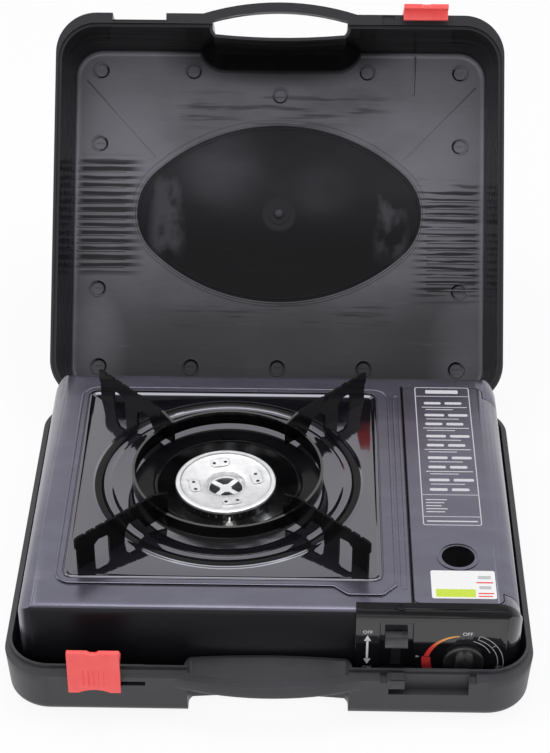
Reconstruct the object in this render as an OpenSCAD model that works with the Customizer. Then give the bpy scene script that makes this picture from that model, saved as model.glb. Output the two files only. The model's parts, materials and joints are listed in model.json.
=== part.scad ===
// Butane cassette stove standing in the open carrying case that it is stored in.
// Origin: middle of the case's underside. +X is to the right, +Y towards the case hinge, +Z up.
// The lid is drawn closed on the rim and then swung back about the hinge until it leans on the table.

/* [Carrying case] */
// Width of both case halves at the rim
case_w = 378; // [374:1:400]
// Depth of both case halves at the rim
case_d = 328; // [326:1:350]
// Height of the rim of the bottom half
base_h = 36; // [35:1:38]
// Height of the lid above the rim
lid_h = 75; // [75:1:84]
// Plan radius of the case corners
case_corner_r = 34; // [32:1:40]
// Wall of the sides and the back at the rim
case_wall = 4.5; // [4:0.1:5]
// Wall of the front, which carries the latches
front_wall = 11; // [10.8:0.1:11.5]
// Thickness of the floor of the bottom half
case_floor = 3; // [2.5:0.1:3.5]
// Thickness of the lid's panel
lid_panel = 3.5; // [3.2:0.1:4]
// How far the bottom half narrows towards its floor
base_draft = 2; // [1:0.1:3]
// How far the lid narrows towards its top
lid_draft = 4; // [3:0.1:5]
// How far the inside of the lid narrows towards its panel
lid_inner_draft = 6; // [5:0.1:7]
// Radius of the bottom edge of the bottom half
base_edge_r = 8; // [6:0.5:10]
// Radius of the lid's top edge at the front and sides
lid_edge_r = 12; // [9:0.5:12]
// Radius of the lid's back edge, on which the open lid leans
lid_back_r = 23.5; // [22:0.5:26]
// Radius along the foot of the walls inside both halves
inner_edge_r = 4; // [3:0.5:6]
// Height of the tongue that runs round the bottom half's rim
tongue_h = 2.5; // [2:0.1:3]
// Thickness of the tongue
tongue_t = 2; // [1.5:0.1:2.5]
// Clearance between the tongue and its groove
rim_gap = 0.3; // [0.2:0.05:0.4]

/* [Case hinge] */
// Distance of the hinge axis behind the case
hinge_out = 2; // [2:0.1:3]
// Distance of the hinge axis below the rim
hinge_drop = 1; // [1:0.1:2]
// Outer radius of the knuckles
knuckle_r = 4.5; // [4.2:0.1:5]
// Radius of the hinge pins
hinge_pin_r = 2; // [1.5:0.1:2.2]
// Length of the lid's middle knuckle
knuckle_l = 18; // [14:1:24]
// Length of each knuckle of the bottom half
base_knuckle_l = 10; // [8:1:14]
// Distance of each hinge from the middle
hinge_x = 110; // [90:5:120]

/* [Carrying handle] */
// Width of the finger slot
bay_w = 114; // [100:1:120]
// Distance from the front of the case to the back of the slot
bay_depth = 22.3; // [22:0.1:22.4]
// Wall behind the slot
bay_wall = 2.6; // [2.2:0.1:2.8]
// Corner radius of the slot
bay_corner_r = 9; // [6:0.5:10]
// How far the back of the slot bows outwards in the middle
bay_bow = 2.9; // [2:0.1:4]
// How far the grip stands in front of the case
grip_out = 10; // [8:0.5:12]
// Thickness of the grip, front to back
grip_t = 8; // [7:0.5:9]
// Height of the half grip on each case half
grip_h = 10.6; // [9:0.1:12]
// Half the width over which the grip bows out
grip_half_w = 65; // [62:1:70]
// Radius of the grip's edges
grip_edge_r = 3; // [2:0.5:3.5]

/* [Case latches] */
// Distance of each latch from the middle of the case when it is undone
latch_x = 122; // [120:1:124]
// Width of a latch
latch_w = 37; // [34:1:38]
// Thickness of a latch's plate
latch_t = 3.8; // [3.5:0.1:4.2]
// Length of a latch from its slot to its free end
latch_reach = 32; // [30:1:34]
// Length of a latch on the other side of its slot
latch_tail = 5; // [4.5:0.1:6]
// How far a latch slides towards the handle to lock
latch_travel = 16; // [14:1:17]
// Height of the slot below or above the rim
latch_slot = 6; // [5.6:0.1:6.2]
// Distance from the latch's slot to its hook
hook_at = 19.5; // [19:0.5:20]
// Height of the hook
hook_h = 4; // [3.5:0.1:4.5]
// Clearance between a latch and the case wall
latch_gap = 0.5; // [0.5:0.05:0.6]
// Height of the raised part of the tongue behind the latches
tab_h = 2.8; // [2.6:0.1:3.4]

/* [Stove body] */
// Width of the stove
stove_w = 358; // [350:1:358]
// Distance of the stove's front face from the middle of the case
stove_front = 137.5; // [136:0.1:137.6]
// Distance of the stove's back face from the middle of the case
stove_back = 150; // [146:1:151]
// Height of the stove's top above the table, in the case
stove_top = 77; // [76:0.5:78]
// Height of the raised field round the pan
field_h = 1; // [0.8:0.1:1.2]
// Thickness of the pressed sheet
sheet = 1.1; // [0.9:0.1:1.3]
// Radius of the left and right shoulders
shoulder_r = 17; // [14:0.5:18]
// Radius of the top edge at the front and back
edge_r = 7; // [5:0.5:8]
// Plan radius of the body's upright corners
body_corner_r = 16; // [14:0.5:18]
// Height of the feet
foot_h = 7; // [6.5:0.1:7.5]
// Radius of the feet
foot_r = 8; // [6:0.5:9]

/* [Drip pan] */
// Width of the drip pan
pan_w = 229; // [220:1:230]
// Depth of the drip pan
pan_d = 228; // [220:1:229]
// Middle of the pan, left and right
pan_x = -33.6; // [-35:0.1:-33]
// Middle of the pan, front and back
pan_y = 8.6; // [6:0.1:9]
// Plan radius of the pan's corners
pan_corner_r = 7; // [5:0.5:9]
// Thickness of the pan's sheet
pan_sheet = 1; // [0.8:0.1:1.2]
// Outer radius of the raised ring pressed in the pan
pan_ring_r = 101.8; // [100:0.1:103]
// Width of the raised ring
pan_ring_w = 7.4; // [6:0.1:9]
// Height of the raised ring
pan_ring_h = 1.4; // [1:0.1:1.8]
// Radius of the opening for the burner
pan_hole_r = 53.3; // [50:0.1:56]
// How far the pan dips towards the opening
pan_dip = 4; // [3:0.1:5]

/* [Pan support] */
// Height of the support above the stove's top
support_h = 28; // [24:0.5:28.5]
// Radius that the tips of the legs reach
leg_reach = 149; // [144:0.5:150]
// Radius at which the legs end over the burner
leg_inner_r = 61; // [58:0.5:62]
// Thickness of a leg
leg_t = 2; // [1.6:0.1:2.4]
// Radius of the wind ring that joins the legs
wind_r = 71.5; // [70:0.5:74]
// Height of the wind ring
wind_h = 11.5; // [9:0.5:13]
// Thickness of the wind ring
wind_t = 1.2; // [1:0.1:1.5]
// Depth of the notches that keep a pan from sliding
notch_h = 1.2; // [0.8:0.1:1.6]
// Number of notches on a leg
notch_count = 7; // [5:1:9]

/* [Burner] */
// Middle of the burner, left and right
burner_x = -35.3; // [-36:0.1:-33]
// Middle of the burner, front and back
burner_y = 8.4; // [7:0.1:10]
// Radius of the burner head
burner_r = 38.2; // [36:0.1:40]
// Height of the burner head's rim above the stove's top
burner_up = 1; // [0:0.1:2]
// Height of the burner head's side
head_h = 9; // [8:0.1:10]
// Number of flame ports round the head
port_count = 40; // [30:1:48]
// Width of a flame port
port_w = 1.4; // [1:0.1:1.8]
// Depth of the bowl under the head
bowl_h = 20; // [18:1:22]
// Outer radius of the mixing tube
tube_r = 7; // [6:0.5:8]
// Height of the mixing tube's axis above the table
tube_z = 58; // [57:0.5:59]

/* [Canister bay and cover] */
// Left edge of the cover
cover_x = 102.3; // [101:0.1:104]
// Front edge of the cover
cover_front = 127; // [124:1:128]
// Back edge of the cover
cover_back = 133; // [128:1:136]
// Right limit of the cover's full width, where the narrower side flap starts
cover_step_x = 166; // [163:0.5:168]
// Front edge of the side flap
flap_front = 116; // [112:1:118]
// Back edge of the side flap
flap_back = 120; // [116:1:124]
// Height of the cover's hinge axis above the table
cover_hinge_z = 46.5; // [46:0.1:48]
// Outer radius of the rolled hinge
roll_r = 2.5; // [2.3:0.1:2.8]
// Radius of the cover's hinge pins
cover_pin_r = 1.2; // [1:0.1:1.3]
// Radius of the finger hole
finger_r = 12; // [10:0.5:13]
// Gap round the cover
cover_gap = 0.7; // [0.5:0.05:0.8]
// Left face of the partition between burner and canister
partition_x = 98; // [97:0.1:98.5]
// Middle of the canister, left and right
canister_x = 140; // [139:0.1:141]
// Height of the canister's axis above the table
canister_z = 41.8; // [41:0.1:43]
// Radius of the canister that fits the bay
canister_r = 33.5; // [32.5:0.1:33.6]
// Length of the canister that fits the bay
canister_l = 184; // [180:1:186]
// How far the carriage pushes the canister onto the socket
carriage_travel = 10; // [8:1:11]

/* [Controls] */
// Left edge of the control panel
panel_x = 61.5; // [61:0.5:66]
// How far the panel stands in front of the body
panel_t = 3; // [2.5:0.1:3.2]
// Middle of the knob, left and right
knob_x = 138.5; // [136:0.5:142]
// Height of the knob's axis above the table
knob_z = 35; // [34:0.5:38]
// Radius of the knob's disc
knob_r = 14.5; // [13:0.5:16]
// Width of the knob's grip
knob_grip_w = 12.4; // [10:0.1:14]
// Distance of the knob's front from the panel
knob_out = 8; // [7:0.5:9]
// Radius of the spindle
spindle_r = 3; // [2.5:0.1:3.5]
// Middle of the lock lever, left and right
lever_x = 90.4; // [90:0.1:91]
// Width of the lever's button
lever_w = 16; // [14:0.5:17]
// Height of the lever's button
lever_h = 10.4; // [9:0.1:11]
// Height of the button's underside above the table when the canister is released
lever_z = 50.4; // [50:0.1:51]
// How far the lever moves down to lock the canister
lever_travel = 22; // [20:0.5:22]
// How far the button stands in front of the panel
lever_out = 5; // [4:0.5:6]

/* [Hidden] */
$fn = 64;

// Case
hinge_y = case_d / 2 + hinge_out;
hinge_z = base_h - hinge_drop;
cavity_w = case_w - 2 * case_wall;
cavity_d = case_d - case_wall - front_wall;
cavity_y = (front_wall - case_wall) / 2;
cavity_r = case_corner_r - case_wall;
cavity_front = cavity_y - cavity_d / 2;
cavity_back = cavity_y + cavity_d / 2;
base_inner_draft = base_draft * 0.75;
lid_depth = lid_h - lid_panel;
lid_inner_z = base_h + lid_depth;
lid_top = base_h + lid_h;
lid_floor_gap = 0.4;
back_arc_v = hinge_out + inset_at(lid_draft, lid_h, lid_edge_r, lid_back_r) + lid_back_r;
back_arc_u = lid_h + hinge_drop - lid_back_r;
back_arc_reach = norm([back_arc_v, back_arc_u]);
back_arc_drop = asin((lid_back_r - hinge_z + lid_floor_gap) / back_arc_reach);
lid_lean = atan2(back_arc_u, back_arc_v) + back_arc_drop;
lid_open_angle = 180 - lid_lean;
lid_back_inner_r = lid_back_r - 6.5;
knuckle_gap = 0.4;
pin_gap = 0.05;
far = 600;

// Marks inside the lid; the second number of a dimple is its distance from the hinge
oval_y = hinge_y - 171;
oval_half_w = 123.8;
oval_half_d = 77.4;
oval_dish = 1.2;
dimple_r = 6.5;
dimple_t = 1.8;
dimples = [
    [-157, 296], [-76, 296], [76, 296], [157, 296], [0, 275], [-157, 231.5], [157, 231.5],
    [-157, 104], [157, 104], [-155, 36], [-75, 36], [0, 36], [75, 36], [155, 36]
];
rib_r = 0.9;
rib_count = 14;
left_ribs = [-176, -134];
left_rib_v = 123;
left_rib_pitch = 7;
right_ribs = [129, 171];
right_rib_v = 105;
right_rib_pitch = 6;

// Handle
bay_back = -case_d / 2 + bay_depth;
lid_bay_back = bay_back - 2;
bay_bow_r = arc_radius(bay_w / 2, bay_bow);
tongue_in = 0.1;
grip_r = arc_radius(grip_half_w, grip_out);
grip_angle = asin((grip_half_w + 4.5) / grip_r);
bay_flare_z = stove_top + 8;
bay_flare = 13;

// Latches
latch_y = -case_d / 2 - latch_gap;
latch_neck = 4;
latch_head = 7;
slot_fit = 0.3;
slot_lip = 3.5;
slot_head_t = 3;
hook_reach = 7.5;
hook_wall = 0.5;
channel_y = latch_y + hook_reach + hook_wall;
lug_in = 86.5;
lug_out = 95.8;
channel_out = latch_x + latch_w / 2 + 1;
base_slot_z = base_h - latch_slot;
lid_slot_z = base_h + latch_slot + 5;
base_hook_z = lid_slot_z - hook_at;
lid_hook_z = base_slot_z + hook_at;
tab_in = 88;
tab_out = channel_out;

// Stove
body_z = case_floor + foot_h;
stove_mid_y = (stove_back - stove_front) / 2;
stove_d = stove_front + stove_back;
top_in = stove_top - sheet;
field_top = stove_top + field_h;
field_margin = 6.5;
field_extra = 4;
tongue_out = 9;
tongue_from = 44;
tongue_slant = 10;
tongue_to = 11;
field_r = 13;
pan_gap = 1;
pan_seat = field_top - 1.5;
pan_ledge = 5;
pan_top = pan_seat + pan_sheet;
plate_z = body_z + sheet;
trough_z = case_floor + foot_h / 2 - 1;
trough_left = partition_x + 6;
trough_right = stove_w / 2 - 2 * sheet;
trough_front = -100;
trough_back = 125;
foot_x = 155;
foot_front = -118;
foot_back = 137;
seat_t = 1;

// Cover and canister bay
cover_hinge_x = stove_w / 2 - roll_r;
side_wall_top = cover_hinge_z - roll_r - 1.5;
roll_l = 30;
roll_end_l = 12;
roll_y = [-80, 84];
canister_front = -98;
canister_back = canister_front + canister_l;
finger_x = 136.3;
finger_y = -76.2;

// Burner
head_top = field_top + burner_up - 1;
head_under = head_top - head_h;
bowl_r = burner_r - 5;
inlet_x = 96;
inlet_y = -101;
tube_angle = atan2(burner_y - inlet_y, burner_x - inlet_x);
tube_l = norm([burner_x - inlet_x, burner_y - inlet_y]) - bowl_r + 4;
hub_hole = [4.5, 12.6];
hub_spoke = 4;
hub_turn = 53;
lance_r = 24;
lance_turn = 13;
lance_hole_r = 1.35;
lance_hole_x = 4.4;
bracket_half = bowl_r - 8;
bracket_w = 9;
bracket_foot = 14;
bracket_t = 1.5;
partition_front = -stove_front + 11.5;
partition_foot = 9;

// Controls
panel_y = -stove_front - panel_t;
panel_wrap = 1.4;
panel_top = stove_top + 0.9;
panel_bottom = 13;
panel_fit = 0.1;
panel_back = -cover_front - 1;
slot_w = 7;
lever_stem = 2.8;
recess_w = 23.5;
recess_top = 69.4;
recess_bottom = lever_z - lever_travel - 2;
recess_t = 1.6;
cam_x = 104.8;
cam_t = 1.5;
cam_pin_r = 1.5;
cam_pin_z = 40;
cam_pin_y = -117;
cam_fit = 0.3;
arm_x = 106.9;
arm_t = 1.5;
arm_z0 = 13;
arm_h = 9;
pusher_half = 28;
pusher_h = 20;
pusher_foot = [10, 40];
guide_l = 12;
guide_y = [for (i = [0:2]) canister_front + 14 + 71 * i];
panel_screw_x = 93;
panel_screw_y = -stove_front + 4.3;
reg_front = -stove_front + 6;
reg_back = canister_front - 6;
reg_left = 116;
reg_right = 163;
reg_z0 = 17;
reg_z1 = 53;
piezo_x = [128, 156];
piezo_y = [-130, -118];
piezo_z = [reg_z1 + 9, reg_z1 + 20];

// Electrode, and the route of its lead from the igniter to its foot
electrode_x = -31;
electrode_y = burner_y - burner_r - 8;
electrode_foot = head_under - 12;
lead_route = [
    [122, -124, 67.5], [112, -127, 70], [106, -130.5, 71], [60, -130.5, 71],
    [20, -110, 66], [-20, -60, 52], [-31, -37.8, 49]
];
lead_r = 1.2;

function arc_radius(half, rise) = (half * half + rise * rise) / (2 * rise);
function inset_at(draft, h, edge, z) = draft * (h - z) / (h - edge);

// ---- shared shapes ----

// Flat rectangle with round corners
module rrect(w, d, r) {
    square([w - 2 * r, d], center = true);
    square([w, d - 2 * r], center = true);
    for (sx = [-1, 1], sy = [-1, 1])
        translate([sx * (w / 2 - r), sy * (d / 2 - r)]) circle(r);
}

// Plate with round corners, standing on z
module rplate(w, d, r, z, t) {
    translate([0, 0, z]) linear_extrude(t) rrect(w, d, r);
}

// Half of a tub's upright section: wide mouth at h, round edge at the floor
module tub_section(half, h, draft, edge) {
    foot = half - draft - edge;
    polygon([[0, 0], [foot, 0], [foot, edge], [half - draft, edge], [half, h], [0, h]]);
    translate([foot, edge]) circle(edge);
}

module tub_profile(half, h, draft, edge) {
    tub_section(half, h, draft, edge);
    mirror([1, 0]) tub_section(half, h, draft, edge);
}

// Solid tub with drafted walls and round corners; its floor is at z = 0
module tub(w, d, h, r, draft, edge) {
    rotate([90, 0, 0])
        linear_extrude(d - 2 * r, center = true) tub_profile(w / 2, h, draft, edge);
    rotate([90, 0, 90])
        linear_extrude(w - 2 * r, center = true) tub_profile(d / 2, h, draft, edge);
    for (q = [0:3])
        translate([(q == 0 || q == 3 ? 1 : -1) * (w / 2 - r), (q < 2 ? 1 : -1) * (d / 2 - r), 0])
            rotate([0, 0, 90 * q]) rotate_extrude(angle = 90) tub_section(r, h, draft, edge);
}

// Prism along X whose section is drawn in Y and Z
module along_x(x0, x1) {
    translate([x0, 0, 0]) rotate([90, 0, 90]) linear_extrude(x1 - x0) children();
}

// Prism along Y whose section is drawn in X and Z
module along_y(y0, y1) {
    translate([0, y1, 0]) rotate([90, 0, 0]) linear_extrude(y1 - y0) children();
}

module span(x, y, z) {
    translate([x[0], y[0], z[0]]) cube([x[1] - x[0], y[1] - y[0], z[1] - z[0]]);
}

module rod(from, to, r) {
    run = to - from;
    len = norm(run);
    tilt = acos(max(-1, min(1, run[2] / len)));
    translate(from) rotate([0, tilt, atan2(run[1], run[0])]) cylinder(h = len, r = r);
}

module swing_open() {
    translate([0, hinge_y, hinge_z]) rotate([-lid_open_angle, 0, 0]) translate([0, -hinge_y, -hinge_z])
        children();
}

// ---- carrying case ----

// Finger slot seen from above
module bay_outline(back, grow) {
    front = -case_d / 2 - grip_out;
    intersection() {
        translate([0, (back + front) / 2])
            rrect(bay_w + 2 * grow, back - front + 2 * grow, bay_corner_r + grow);
        translate([0, back - bay_bow_r]) circle(bay_bow_r + grow, $fn = 180);
    }
}

// Half grip, its flat side at z = 0 and its body above
module half_grip() {
    translate([0, grip_r - case_d / 2 - grip_out, 0])
        rotate([0, 0, -90 - grip_angle])
            rotate_extrude(angle = 2 * grip_angle, $fn = 180)
                translate([grip_r - grip_t, 0]) {
                    square([grip_t, grip_h - grip_edge_r]);
                    translate([grip_edge_r, 0]) square([grip_t - 2 * grip_edge_r, grip_h]);
                    for (x = [grip_edge_r, grip_t - grip_edge_r])
                        translate([x, grip_h - grip_edge_r]) circle(grip_edge_r);
                }
}

// T-shaped slot that a latch slides in; side is -1 on the left and 1 on the right
module latch_slot_cut(side, z) {
    x0 = latch_x - latch_w / 2 - latch_travel - 1;
    x1 = latch_x + latch_w / 2;
    y0 = -case_d / 2;
    half_neck = latch_neck / 2;
    half_head = latch_head / 2;
    mirror([side < 0 ? 1 : 0, 0, 0]) {
        span([x0, x1], [y0 - 1, y0 + slot_lip + 0.1], [z - half_neck, z + half_neck]);
        span([x0, x1], [y0 + slot_lip, y0 + slot_lip + slot_head_t], [z - half_head, z + half_head]);
    }
}

// Channel that lets the other half's hook in and past the lug; z0 is the mouth and z1 the blind end
module hook_channel_cut(side, z0, z1, hook0, hook1) {
    y0 = -case_d / 2 - 1;
    mirror([side < 0 ? 1 : 0, 0, 0]) {
        span([lug_out + 0.5, channel_out], [y0, channel_y], [min(z0, z1), max(z0, z1)]);
        span([lug_in - 1.5, lug_out + 1], [y0, channel_y], [hook0, hook1]);
    }
}

module hinge_knuckle(x0, x1, up) {
    difference() {
        union() {
            rod([x0, hinge_y, hinge_z], [x1, hinge_y, hinge_z], knuckle_r);
            span([x0, x1], [case_d / 2 - 3, hinge_y + knuckle_r - 1],
                 up ? [hinge_z, base_h + 7] : [hinge_z - 9, hinge_z]);
        }
        rod([x0 - 1, hinge_y, hinge_z], [x1 + 1, hinge_y, hinge_z], hinge_pin_r + pin_gap);
    }
}

module knuckle_relief(x0, x1) {
    rod([x0 - knuckle_gap, hinge_y, hinge_z], [x1 + knuckle_gap, hinge_y, hinge_z], knuckle_r + knuckle_gap);
}

module case_base() {
    color([0.30, 0.30, 0.33]) {
        difference() {
            union() {
                difference() {
                    tub(case_w, case_d, base_h, case_corner_r, base_draft, base_edge_r);
                    translate([0, cavity_y, case_floor])
                        tub(cavity_w, cavity_d, base_h - case_floor + 0.01, cavity_r,
                            base_inner_draft, inner_edge_r);
                }
                intersection() {
                    tub(case_w, case_d, base_h, case_corner_r, base_draft, base_edge_r);
                    linear_extrude(base_h) bay_outline(bay_back, bay_wall);
                }
                // tongue round the mouth, higher behind the latches
                translate([0, cavity_y, base_h - 0.5]) linear_extrude(tongue_h + 0.5) difference() {
                    rrect(cavity_w + 2 * tongue_t, cavity_d + 2 * tongue_t, cavity_r + tongue_t);
                    rrect(cavity_w + 2 * tongue_in, cavity_d + 2 * tongue_in, cavity_r + tongue_in);
                }
                for (side = [-1, 1]) mirror([side < 0 ? 1 : 0, 0, 0])
                    span([side < 0 ? tab_in : lug_out + 0.5, tab_out],
                         [cavity_front - tongue_t, cavity_front - tongue_in], [base_h - 1, base_h + tab_h]);
                // lug that the lid's latch hooks under
                span([lug_in, lug_out], [-case_d / 2 + 0.8, channel_y], [base_h - 1, base_h + tab_h - 1.5]);
                for (side = [-1, 1]) {
                    x0 = side * hinge_x - knuckle_l / 2 - knuckle_gap - base_knuckle_l;
                    x1 = side * hinge_x + knuckle_l / 2 + knuckle_gap;
                    hinge_knuckle(x0, x0 + base_knuckle_l, false);
                    hinge_knuckle(x1, x1 + base_knuckle_l, false);
                }
            }
            translate([0, 0, -1]) linear_extrude(base_h + tab_h + 2) bay_outline(bay_back, 0);
            latch_slot_cut(-1, base_slot_z);
            hook_channel_cut(1, base_h + 1, base_hook_z - hook_h - 1,
                base_hook_z - hook_h - 1, base_hook_z + 0.5);
            for (x = [lug_in - 7.5, channel_out + 0.5])
                span([x, x + 5], [-case_d / 2 - 1, cavity_front - tongue_t], [base_h - 2, base_h + 1]);
            for (side = [-1, 1])
                knuckle_relief(side * hinge_x - knuckle_l / 2, side * hinge_x + knuckle_l / 2);
        }
        translate([0, 0, base_h]) mirror([0, 0, 1]) half_grip();
    }
}

// Wall round the finger slot inside the lid, flaring where it meets the panel
module lid_bay_solid() {
    front = -case_d / 2;
    depth = lid_bay_back + bay_wall - front;
    wall_w = bay_w + 2 * bay_wall;
    linear_extrude(lid_inner_z + 1) bay_outline(lid_bay_back, bay_wall);
    translate([0, front, bay_flare_z])
        tub(wall_w + 2 * bay_flare, 2 * (depth + bay_flare), lid_inner_z + 1 - bay_flare_z,
            bay_corner_r + bay_wall + bay_flare, bay_flare, 0.01);
}

module lid_outer() {
    translate([0, 0, lid_top]) mirror([0, 0, 1])
        tub(case_w, case_d, lid_h, case_corner_r, lid_draft, lid_edge_r);
}

// What is cut away along the back edge to round it; depth counts down from the top face
module back_rounding(y, top, r) {
    along_x(-far / 2, far / 2) difference() {
        translate([y, top - r]) square([r + 30, r + 30]);
        translate([y, top - r]) circle(r, $fn = 96);
    }
}

module lid_cavity() {
    y = hinge_y - hinge_out - case_wall
        - inset_at(lid_inner_draft, lid_depth, inner_edge_r, lid_back_inner_r) - lid_back_inner_r;
    difference() {
        translate([0, cavity_y, lid_inner_z]) mirror([0, 0, 1])
            tub(cavity_w, cavity_d, lid_depth, cavity_r, lid_inner_draft, inner_edge_r);
        back_rounding(y, lid_inner_z, lid_back_inner_r);
    }
}

// Oval made of two long arcs and two round ends
module oval(half_w, half_d, grow) {
    end_r = half_d * 0.62;
    side_r = (half_w * half_w + half_d * half_d - 2 * half_w * end_r) / (2 * (half_d - end_r));
    end_x = half_w - end_r;
    drop = side_r - half_d;
    reach = end_x * side_r / (side_r - end_r);
    intersection() {
        translate([0, -drop]) circle(side_r + grow, $fn = 180);
        translate([0, drop]) circle(side_r + grow, $fn = 180);
        translate([-reach, -far / 2]) square([2 * reach, far]);
    }
    for (s = [-1, 1]) translate([s * end_x, 0]) circle(end_r + grow, $fn = 120);
}

module rib(x, v) {
    rod([x[0], hinge_y - v, lid_inner_z], [x[1], hinge_y - v, lid_inner_z], rib_r);
}

module lid_panel_cuts() {
    translate([0, oval_y, lid_inner_z - 0.1]) {
        linear_extrude(oval_dish + 0.1) oval(oval_half_w, oval_half_d, 0);
        linear_extrude(0.9) difference() {
            oval(oval_half_w, oval_half_d, 5.5);
            oval(oval_half_w, oval_half_d, 3.5);
        }
    }
    for (p = dimples) translate([p[0], hinge_y - p[1], lid_inner_z - 0.01]) {
        cylinder(h = dimple_t, r1 = dimple_r, r2 = dimple_r - 1.5);
        translate([-dimple_r * 0.55, -0.8, 0]) cube([dimple_r * 1.1, 1.6, dimple_t + 0.7]);
    }
}

module lid_panel_ridges() {
    translate([0, oval_y, lid_inner_z + 1.5]) sphere(4.5);
    translate([0, oval_y, lid_inner_z + 1]) rotate([180, 0, 0]) cylinder(h = 0.6, r = 9);
    for (i = [0:rib_count - 1]) {
        rib(left_ribs, left_rib_v + left_rib_pitch * i);
        rib(right_ribs, right_rib_v + right_rib_pitch * i);
    }
}

module lid_blank() {
    difference() {
        lid_outer();
        back_rounding(hinge_y - back_arc_v, lid_top, lid_back_r);
    }
}

module case_lid() {
    color([0.36, 0.36, 0.40])
    swing_open() {
        difference() {
            union() {
                difference() {
                    lid_blank();
                    lid_cavity();
                    lid_panel_cuts();
                }
                intersection() {
                    lid_blank();
                    union() {
                        lid_bay_solid();
                        lid_panel_ridges();
                    }
                }
                for (side = [-1, 1])
                    hinge_knuckle(side * hinge_x - knuckle_l / 2, side * hinge_x + knuckle_l / 2, true);
            }
            // groove for the tongue, deeper where the tongue is raised
            translate([0, cavity_y, base_h - 1]) linear_extrude(tongue_h + 1.3) difference() {
                rrect(cavity_w + 2 * (tongue_t + rim_gap), cavity_d + 2 * (tongue_t + rim_gap),
                      cavity_r + tongue_t + rim_gap);
                rrect(cavity_w - 6, cavity_d - 6, cavity_r - 3);
            }
            for (side = [-1, 1]) mirror([side < 0 ? 1 : 0, 0, 0])
                span([tab_in - 1, tab_out + 1], [cavity_front - tongue_t - 1.4 * rim_gap, cavity_front + 3],
                     [base_h - 1, base_h + tab_h + 0.5]);
            // pocket for the bottom half's lug
            span([lug_in - 0.5, lug_out + 0.5], [-case_d / 2 + 0.4, channel_y + 0.4],
                 [base_h - 1, base_h + tab_h - 1]);
            translate([0, 0, base_h - 1]) linear_extrude(lid_h + 2) bay_outline(lid_bay_back, 0);
            latch_slot_cut(1, lid_slot_z);
            hook_channel_cut(-1, base_h - 1, lid_hook_z + hook_h + 1,
                lid_hook_z - 0.5, lid_hook_z + hook_h + 1);
            for (side = [-1, 1]) {
                x0 = side * hinge_x - knuckle_l / 2 - knuckle_gap - base_knuckle_l;
                x1 = side * hinge_x + knuckle_l / 2 + knuckle_gap;
                knuckle_relief(x0, x0 + base_knuckle_l);
                knuckle_relief(x1, x1 + base_knuckle_l);
                rod([side * hinge_x - knuckle_l / 2 - 1, hinge_y, hinge_z],
                    [side * hinge_x + knuckle_l / 2 + 1, hinge_y, hinge_z], hinge_pin_r + pin_gap);
            }
        }
        translate([0, 0, base_h]) half_grip();
    }
}

module case_hinge_pins() {
    half = knuckle_l / 2 + knuckle_gap + base_knuckle_l;
    color([0.75, 0.75, 0.78])
    for (side = [-1, 1])
        rod([side * hinge_x - half, hinge_y, hinge_z], [side * hinge_x + half, hinge_y, hinge_z],
            hinge_pin_r);
}

// Latch on the right, its slot at z = 0 and its hook above
module latch() {
    half = latch_w / 2;
    neck = latch_neck / 2 - slot_fit;
    head = latch_head / 2 - slot_fit;
    wall = -case_d / 2;
    difference() {
        union() {
            span([-half, half], [latch_y - latch_t, latch_y], [-latch_tail, latch_reach]);
            span([-half + 6, half - 6], [latch_y - 0.1, wall + slot_lip + slot_fit], [-neck, neck]);
            span([-half + 6, half - 6],
                [wall + slot_lip + slot_fit, wall + slot_lip + slot_head_t - slot_fit],
                 [-head, head]);
            span([-half, half], [latch_y - 0.1, latch_y + hook_reach], [hook_at, hook_at + hook_h]);
        }
        // hollow end and thumb notch
        translate([0, 0, -latch_tail - half * 1.15]) rotate([90, 0, 0])
            cylinder(h = far, r = half * 1.3, center = true);
        translate([0, 0, latch_reach + 4]) rotate([90, 0, 0]) cylinder(h = far, r = 5.5, center = true);
        for (x = [-1, 1]) translate([x * (half + 2), latch_y - latch_t - 1.5, 0]) rotate([0, 0, 45])
            cube([4, 4, far], center = true);
        for (i = [0:4]) translate([(i - 2) * 3.6, latch_y - latch_t, 9]) rotate([0, 0, 45])
            cube([1, 1, 14], center = true);
    }
}

module base_latch() {
    color([0.87, 0.13, 0.13]) translate([-latch_x, 0, base_slot_z]) latch();
}

module lid_latch() {
    color([0.87, 0.13, 0.13]) swing_open() translate([latch_x, 0, lid_slot_z]) mirror([0, 0, 1]) latch();
}

// ---- stove body ----

module arch(half, h, r) {
    translate([-half, 0]) square([2 * half, h - r]);
    translate([-half + r, 0]) square([2 * (half - r), h]);
    for (s = [-1, 1]) translate([s * (half - r), h - r]) circle(r, $fn = 96);
}

// The body's outline as a solid; each value moves that side outwards
module stove_block(z0, side, front, back, top) {
    h = stove_top + top - z0;
    depth = stove_d + front + back;
    mid = stove_mid_y + (back - front) / 2;
    grow = min(side, front);
    intersection() {
        translate([0, 0, z0]) along_y(mid - depth / 2, mid + depth / 2)
            arch(stove_w / 2 + side, h, shoulder_r + side);
        translate([0, 0, z0]) along_x(-stove_w / 2 - side, stove_w / 2 + side)
            translate([mid, 0]) arch(depth / 2, h, edge_r + top);
        translate([0, mid, z0]) linear_extrude(h)
            rrect(stove_w + 2 * side, depth, body_corner_r + grow);
    }
}

module body_skin() {
    difference() {
        stove_block(body_z, 0, 0, 0, 0);
        stove_block(body_z - 1, -sheet, -sheet, -sheet, -sheet);
    }
}

// Raised field with a tongue at its front right corner
module field_outline(grow) {
    left = pan_x - pan_w / 2 - field_margin - grow;
    right = pan_x + pan_w / 2 + field_margin + field_extra + grow;
    front = pan_y - pan_d / 2 - field_margin - grow;
    back = pan_y + pan_d / 2 + field_margin + grow;
    ext = tongue_out;
    translate([(left + right) / 2, (front + back) / 2]) rrect(right - left, back - front, field_r);
    polygon([
        [right - tongue_from, front], [right - tongue_from + tongue_slant, front - ext],
        [right - tongue_to, front - ext], [right, front + 2], [right, front + 20],
        [right - tongue_from, front + 20]
    ]);
}

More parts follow.
